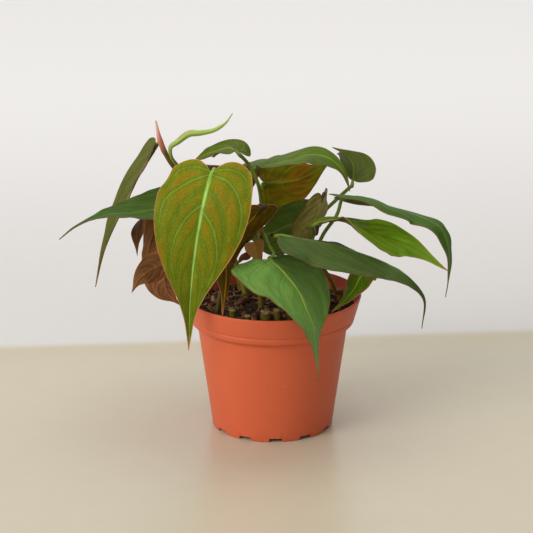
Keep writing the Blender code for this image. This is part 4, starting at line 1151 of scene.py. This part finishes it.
def build_soil():
    top_radius = RIM_RADIUS - WALL - 2.6
    radii = np.linspace(0.0, 1.0, SOIL_RINGS)[1:]**0.75 * top_radius
    turn = np.linspace(0, FULL_TURN, SOIL_SPOKES, endpoint=False)
    x, y = np.outer(radii, np.cos(turn)), np.outer(radii, np.sin(turn))
    rows = [np.stack([x.ravel(), y.ravel(), soil_height(x, y).ravel()], axis=1)]
    rows += [np.stack([radius * np.cos(turn), radius * np.sin(turn), np.full(SOIL_SPOKES, height)], axis=1)
             for radius, height in SOIL_SIDE]
    ends = [(0, 0, soil_height(0.0, 0.0)[0]), (0, 0, SOIL_SIDE[-1][1])]
    faces = tube_faces(len(radii) + len(SOIL_SIDE), SOIL_SPOKES, mirrored=True)
    add_piece("potting_mix", np.vstack([*rows, ends]), faces, [soil_paint()], "soil", "soil")


def crumb(dice, size, flat, long):
    """Return the points and faces of one rough bit: a squashed and dented ball."""
    work = bmesh.new()
    bmesh.ops.create_icosphere(work, subdivisions=2, radius=1.0)
    points = np.array([vertex.co for vertex in work.verts])
    faces = [tuple(vertex.index for vertex in face.verts) for face in work.faces]
    work.free()
    dents = sum(np.sin(points @ dice.normal(size=3) * 2.2 + dice.uniform(0, 6)) for _ in range(3))
    points = points * (1 + 0.16 * dents)[:, None]
    points = np.sign(points) * np.abs(points)**0.8
    return points * np.array([long, 1.0, flat]) * size, faces


def turned(points, dice):
    """Turn points by a random heading and lean."""
    heading, *leans = dice.uniform(0, FULL_TURN), dice.normal(0, LEAN), dice.normal(0, LEAN)
    return points @ np.array(Euler((leans[1], leans[0], heading)).to_matrix()).T


def spot_within(reach, dice):
    """Return a random place on the mix."""
    radius, heading = reach * math.sqrt(dice.uniform(0, 1)), dice.uniform(0, FULL_TURN)
    return radius * math.cos(heading), radius * math.sin(heading)


def scatter(name, count, seed, sizes, flat, long, material):
    """Strew bits over the mix, each partly sunk in it; sizes, flat and long are ranges."""
    dice = np.random.default_rng(seed)
    bits = []
    for _ in range(count):
        x, y = spot_within(CHIP_REACH, dice)
        size = dice.uniform(*sizes)
        points, faces = crumb(dice, size, dice.uniform(*flat), dice.uniform(*long))
        rest = soil_height(x, y)[0] + size * flat[0] * 0.7
        bits.append((turned(points, dice) + np.array([x, y, rest]), faces))
    add_piece(name, *joined(bits), [material], "soil")


def fibres(name, count, seed, material):
    """Lay thin curved fibres and root ends over the mix."""
    dice = np.random.default_rng(seed)
    bits = []
    for _ in range(count):
        x, y = spot_within(FIBRE_REACH, dice)
        way, bend = dice.uniform(0, FULL_TURN), dice.normal(0, 0.22)
        step = dice.uniform(5, 14) / (FIBRE_POINTS - 1)
        path = []
        for k in range(FIBRE_POINTS):
            path.append((x, y, soil_height(x, y)[0] + 0.3 + 0.9 * math.sin(math.pi * k / (FIBRE_POINTS - 1))))
            x, y = x + math.cos(way) * step, y + math.sin(way) * step
            if math.hypot(x, y) > FIBRE_LIMIT:
                break
            way += bend
        if len(path) > 4:
            bits.append(sweep(path, [dice.uniform(0.16, 0.5)] * len(path), 6)[:2])
    add_piece(name, *joined(bits), [material], "soil")


# Stems and the rolled leaf

def skin_fields(across, runs, number, length):
    """Return the fields of a stem's skin: its pattern's place and the share of its length."""
    return {"leaf": np.stack([across, runs, np.full(len(runs), number)], axis=1), "along": runs / length}


def build_stem(name, material):
    """Make a stem with a swelling and a ring at each node."""
    curve = smooth_curve(stem_spots(STEMS[name]))
    length = run_of(curve)[-1]
    count = round(length / 0.6)
    shares = np.linspace(0, 1, count)
    if name == GROWING_TIP:
        radii = np.interp(shares, (0, 0.84, 0.91, 0.95, 1.0), (STEM_RADIUS, 1.55, 1.75, 1.15, 0.6))
    else:
        radii = np.interp(shares, (0, 1), (STEM_RADIUS, STEM_TIP_RADIUS))
        radii *= np.interp(shares, (0.95, 1.0), (1.0, 0.72))
    for spec in LEAVES.values():
        if spec["stem"] == name:
            run = (shares - spec["at"]) * length
            radii = radii + 0.42 * bell(run + 0.6, 2.2) - 0.16 * bell(run - 1.6, 0.5)
    points, faces, runs, around = sweep(*rounded_ends(resampled(curve, count), radii), STEM_SIDES)
    add_piece("vine_" + name, points, faces, [material], "stem", "stem_" + name,
              fields=skin_fields(around * 1.7, runs, length % 7, length))


def build_stub(name, foot, top, radius, skin, core):
    """Make a cut stem end: skin round a paler, slightly dished cut."""
    foot, top = np.array(foot, float), np.array(top, float)
    shares = np.linspace(0, 1, 24)
    bow = np.outer(np.sin(shares * math.pi), (0.5, 0.3, 0.0))
    path = foot + (top - foot) * shares[:, None] + bow
    radii = radius * (1 + 0.10 * bell(shares - 0.75, 0.08) - 0.05 * shares)
    way = unit(path[-1] - path[-2])
    rings = ((0.18, 0.9), (0.22, 0.72), (0.05, 0.3))
    path = np.vstack([path, [path[-1] + way * rise for rise, _ in rings]])
    radii = np.append(radii, [radii[-1] * share for _, share in rings])
    points, faces, runs, around = sweep(path, radii, STEM_SIDES)
    points = points + way * (0.25 * radius * np.cos(around) * (runs > runs.max() - 2.0))[:, None]
    picks = [int(all(runs[number] > runs.max() - 0.45 for number in face)) for face in faces]
    add_piece("cut_" + name, points, faces, [skin, core], "stem", name, picks,
              skin_fields(around * radius, runs, foot[0] % 5, runs.max()))


def build_rolled():
    """Make the youngest leaf: a blade wound round itself, with its free edge along it."""
    seat, away = stem_seat(ROLLED_STEM, ROLLED_AT, ROLLED_LEAF[0])
    curve = smooth_curve([seat + away * SEAT_RUN, *ROLLED_LEAF], PETIOLE_PACE)
    curve = np.vstack([seat - away * SEAT_SINK, seat, seat + away * 2.0, curve])
    length = run_of(curve)[-1]
    path = resampled(curve, 150)
    run = np.linspace(0, length, 150)
    spots = run_of(np.array([seat, *ROLLED_LEAF], float))
    radii = blurred(np.interp(run, spots + SEAT_SINK, (1.35, *ROLLED_RADII[:-1], 0.35)), 4)
    points, faces, runs, around = sweep(path, radii + 0.7 * bell(run - 1.2, 2.4), ROLLED_SIDES)
    blade = steps(runs, spots[3], spots[3] + 7) * (1 - steps(runs, length - 4, length))
    seam = (around / FULL_TURN + 0.15 + runs / 62.0) % 1.0
    centre = np.concatenate([np.repeat(path, ROLLED_SIDES, axis=0), path[:1], path[-1:]])
    points = centre + (points - centre) * (1 + blade * (0.20 * (seam - 0.5)))[:, None]
    fields = skin_fields(seam * 16.0, runs, 3.0, length)
    fields["seam"] = np.minimum(seam, 1 - seam) * 16.0 + (1 - blade) * 9.0
    add_piece("blade_rolled", points, faces, [rolled_paint()], "leaf_bright", "leaf_rolled", fields=fields)


# Stage

def facing_turn(spot, target):
    """Return the rotation that points a camera or lamp at a target, without roll."""
    x, y, z = np.array(target, float) - np.array(spot, float)
    return math.atan2(math.hypot(x, y), -z), 0.0, math.atan2(y, x) - math.pi / 2


def build_stage():
    mesh = bpy.data.meshes.new("studio_floor")
    corners = [(x * FLOOR_SIZE, y * FLOOR_SIZE, 0) for x, y in ((-1, -1), (1, -1), (1, 1), (-1, 1))]
    mesh.from_pydata(corners, [], [(0, 1, 2, 3)])
    mesh.materials.append(floor_paint())
    put("studio_floor", mesh)

    world = bpy.context.scene.world = bpy.data.worlds.new("studio")
    paint = Paint(world)
    around = paint.place("Generated")
    glows = []
    for toward, low, high, dark, bright in WORLD_GLOWS:
        inputs = {0: around, 1: unit(np.array(toward))}
        lean = paint.node("VectorMath", "Value", inputs, operation="DOT_PRODUCT")
        glows.append(lean.rise(low, high, dark, bright))
    back = world.node_tree.nodes["Background"]
    back.inputs["Color"].default_value = (1.0, 0.99, 0.975, 1.0)
    paint.feed(back.inputs["Strength"], paint.math("MAXIMUM", *glows))

    for name, spot, size, power, colour in LAMPS:
        light = bpy.data.lights.new(name, "AREA")
        light.shape = "DISK"
        light.size = size
        light.energy = power
        light.color = colour
        lamp = put(name, light)
        lamp.location = spot
        lamp.rotation_euler = facing_turn(spot, LAMP_AIM)
        lamp.visible_camera = False


def build_camera():
    lens = bpy.data.cameras.new("view")
    lens.lens = 200.0
    lens.sensor_width = 36.0
    lens.clip_start = 0.05
    camera = put("view", lens)
    camera.location = CAMERA
    camera.rotation_euler = facing_turn(CAMERA, CAMERA_AIM)
    bpy.context.scene.camera = camera


# The whole

def tinted(look):
    """Return the look with its upper and under colours multiplied by its tints, which carry the leaf's own
    colour and painted light together.
    """
    made = dict(look)
    for tint_and_light, keys in (("tint_and_light", COLOURS[:4]), ("under_tint_and_light", COLOURS[4:8])):
        for key in keys:
            made[key] = (*(min(1.0, part * share) for part, share in zip(rgb(look[key]), look[tint_and_light])), 1.0)
    return made


def build_leaves():
    for number, (name, spec) in enumerate(LEAVES.items(), 1):
        spec["seed"] = 1.37 * number
        look = tinted({**BASE_LOOK, **KINDS[spec["kind"]], **OWN_LOOKS.get(name, {})})
        build_leaf(name, spec, look["relief"], [
            top_paint("top_" + name, look), under_paint("under_" + name, look),
            stalk_paint("stalk_" + name, *look["stalk"], "8c6038", 0.75)])


build_camera()
build_stage()
build_pot()
build_soil()
scatter("bark_chips", 130, 21, (0.9, 2.4), (0.25, 0.6), (1.0, 2.2), chip_paint("bark", "321e0e", "8c562a"))
scatter("pale_chips", 54, 22, (0.7, 1.7), (0.3, 0.6), (1.0, 2.4), chip_paint("pale_bark", "825a34", "be8e5a"))
scatter("crumbs", 420, 23, (0.4, 1.1), (0.5, 0.9), (0.8, 1.4), chip_paint("crumb", "1e1208", "5a391a"))
fibres("root_fibres", 84, 24, chip_paint("fibre", "684a2e", "a68058"))
STEM_SKIN = stalk_paint("stem_skin", "7e802c", "8e682e", "684228", 0.3)
SHEATH_SKIN = stalk_paint("sheath_skin", "7e802c", "886c2e", "684228", 0.3, (0.86, "d08066", "f0c0b2"))
for stem_name in STEMS:
    build_stem(stem_name, SHEATH_SKIN if stem_name == GROWING_TIP else STEM_SKIN)
for number, stub in enumerate(STUBS, 1):
    stub_name = f"stub_{number}"
    build_stub(stub_name, *stub, stalk_paint("skin_" + stub_name, "323a0d", "544e16", "523218"),
               chip_paint("cut_" + stub_name, "705c36", "988454"))
build_rolled()
build_leaves()

bpy.context.scene.view_settings.view_transform = "Standard"
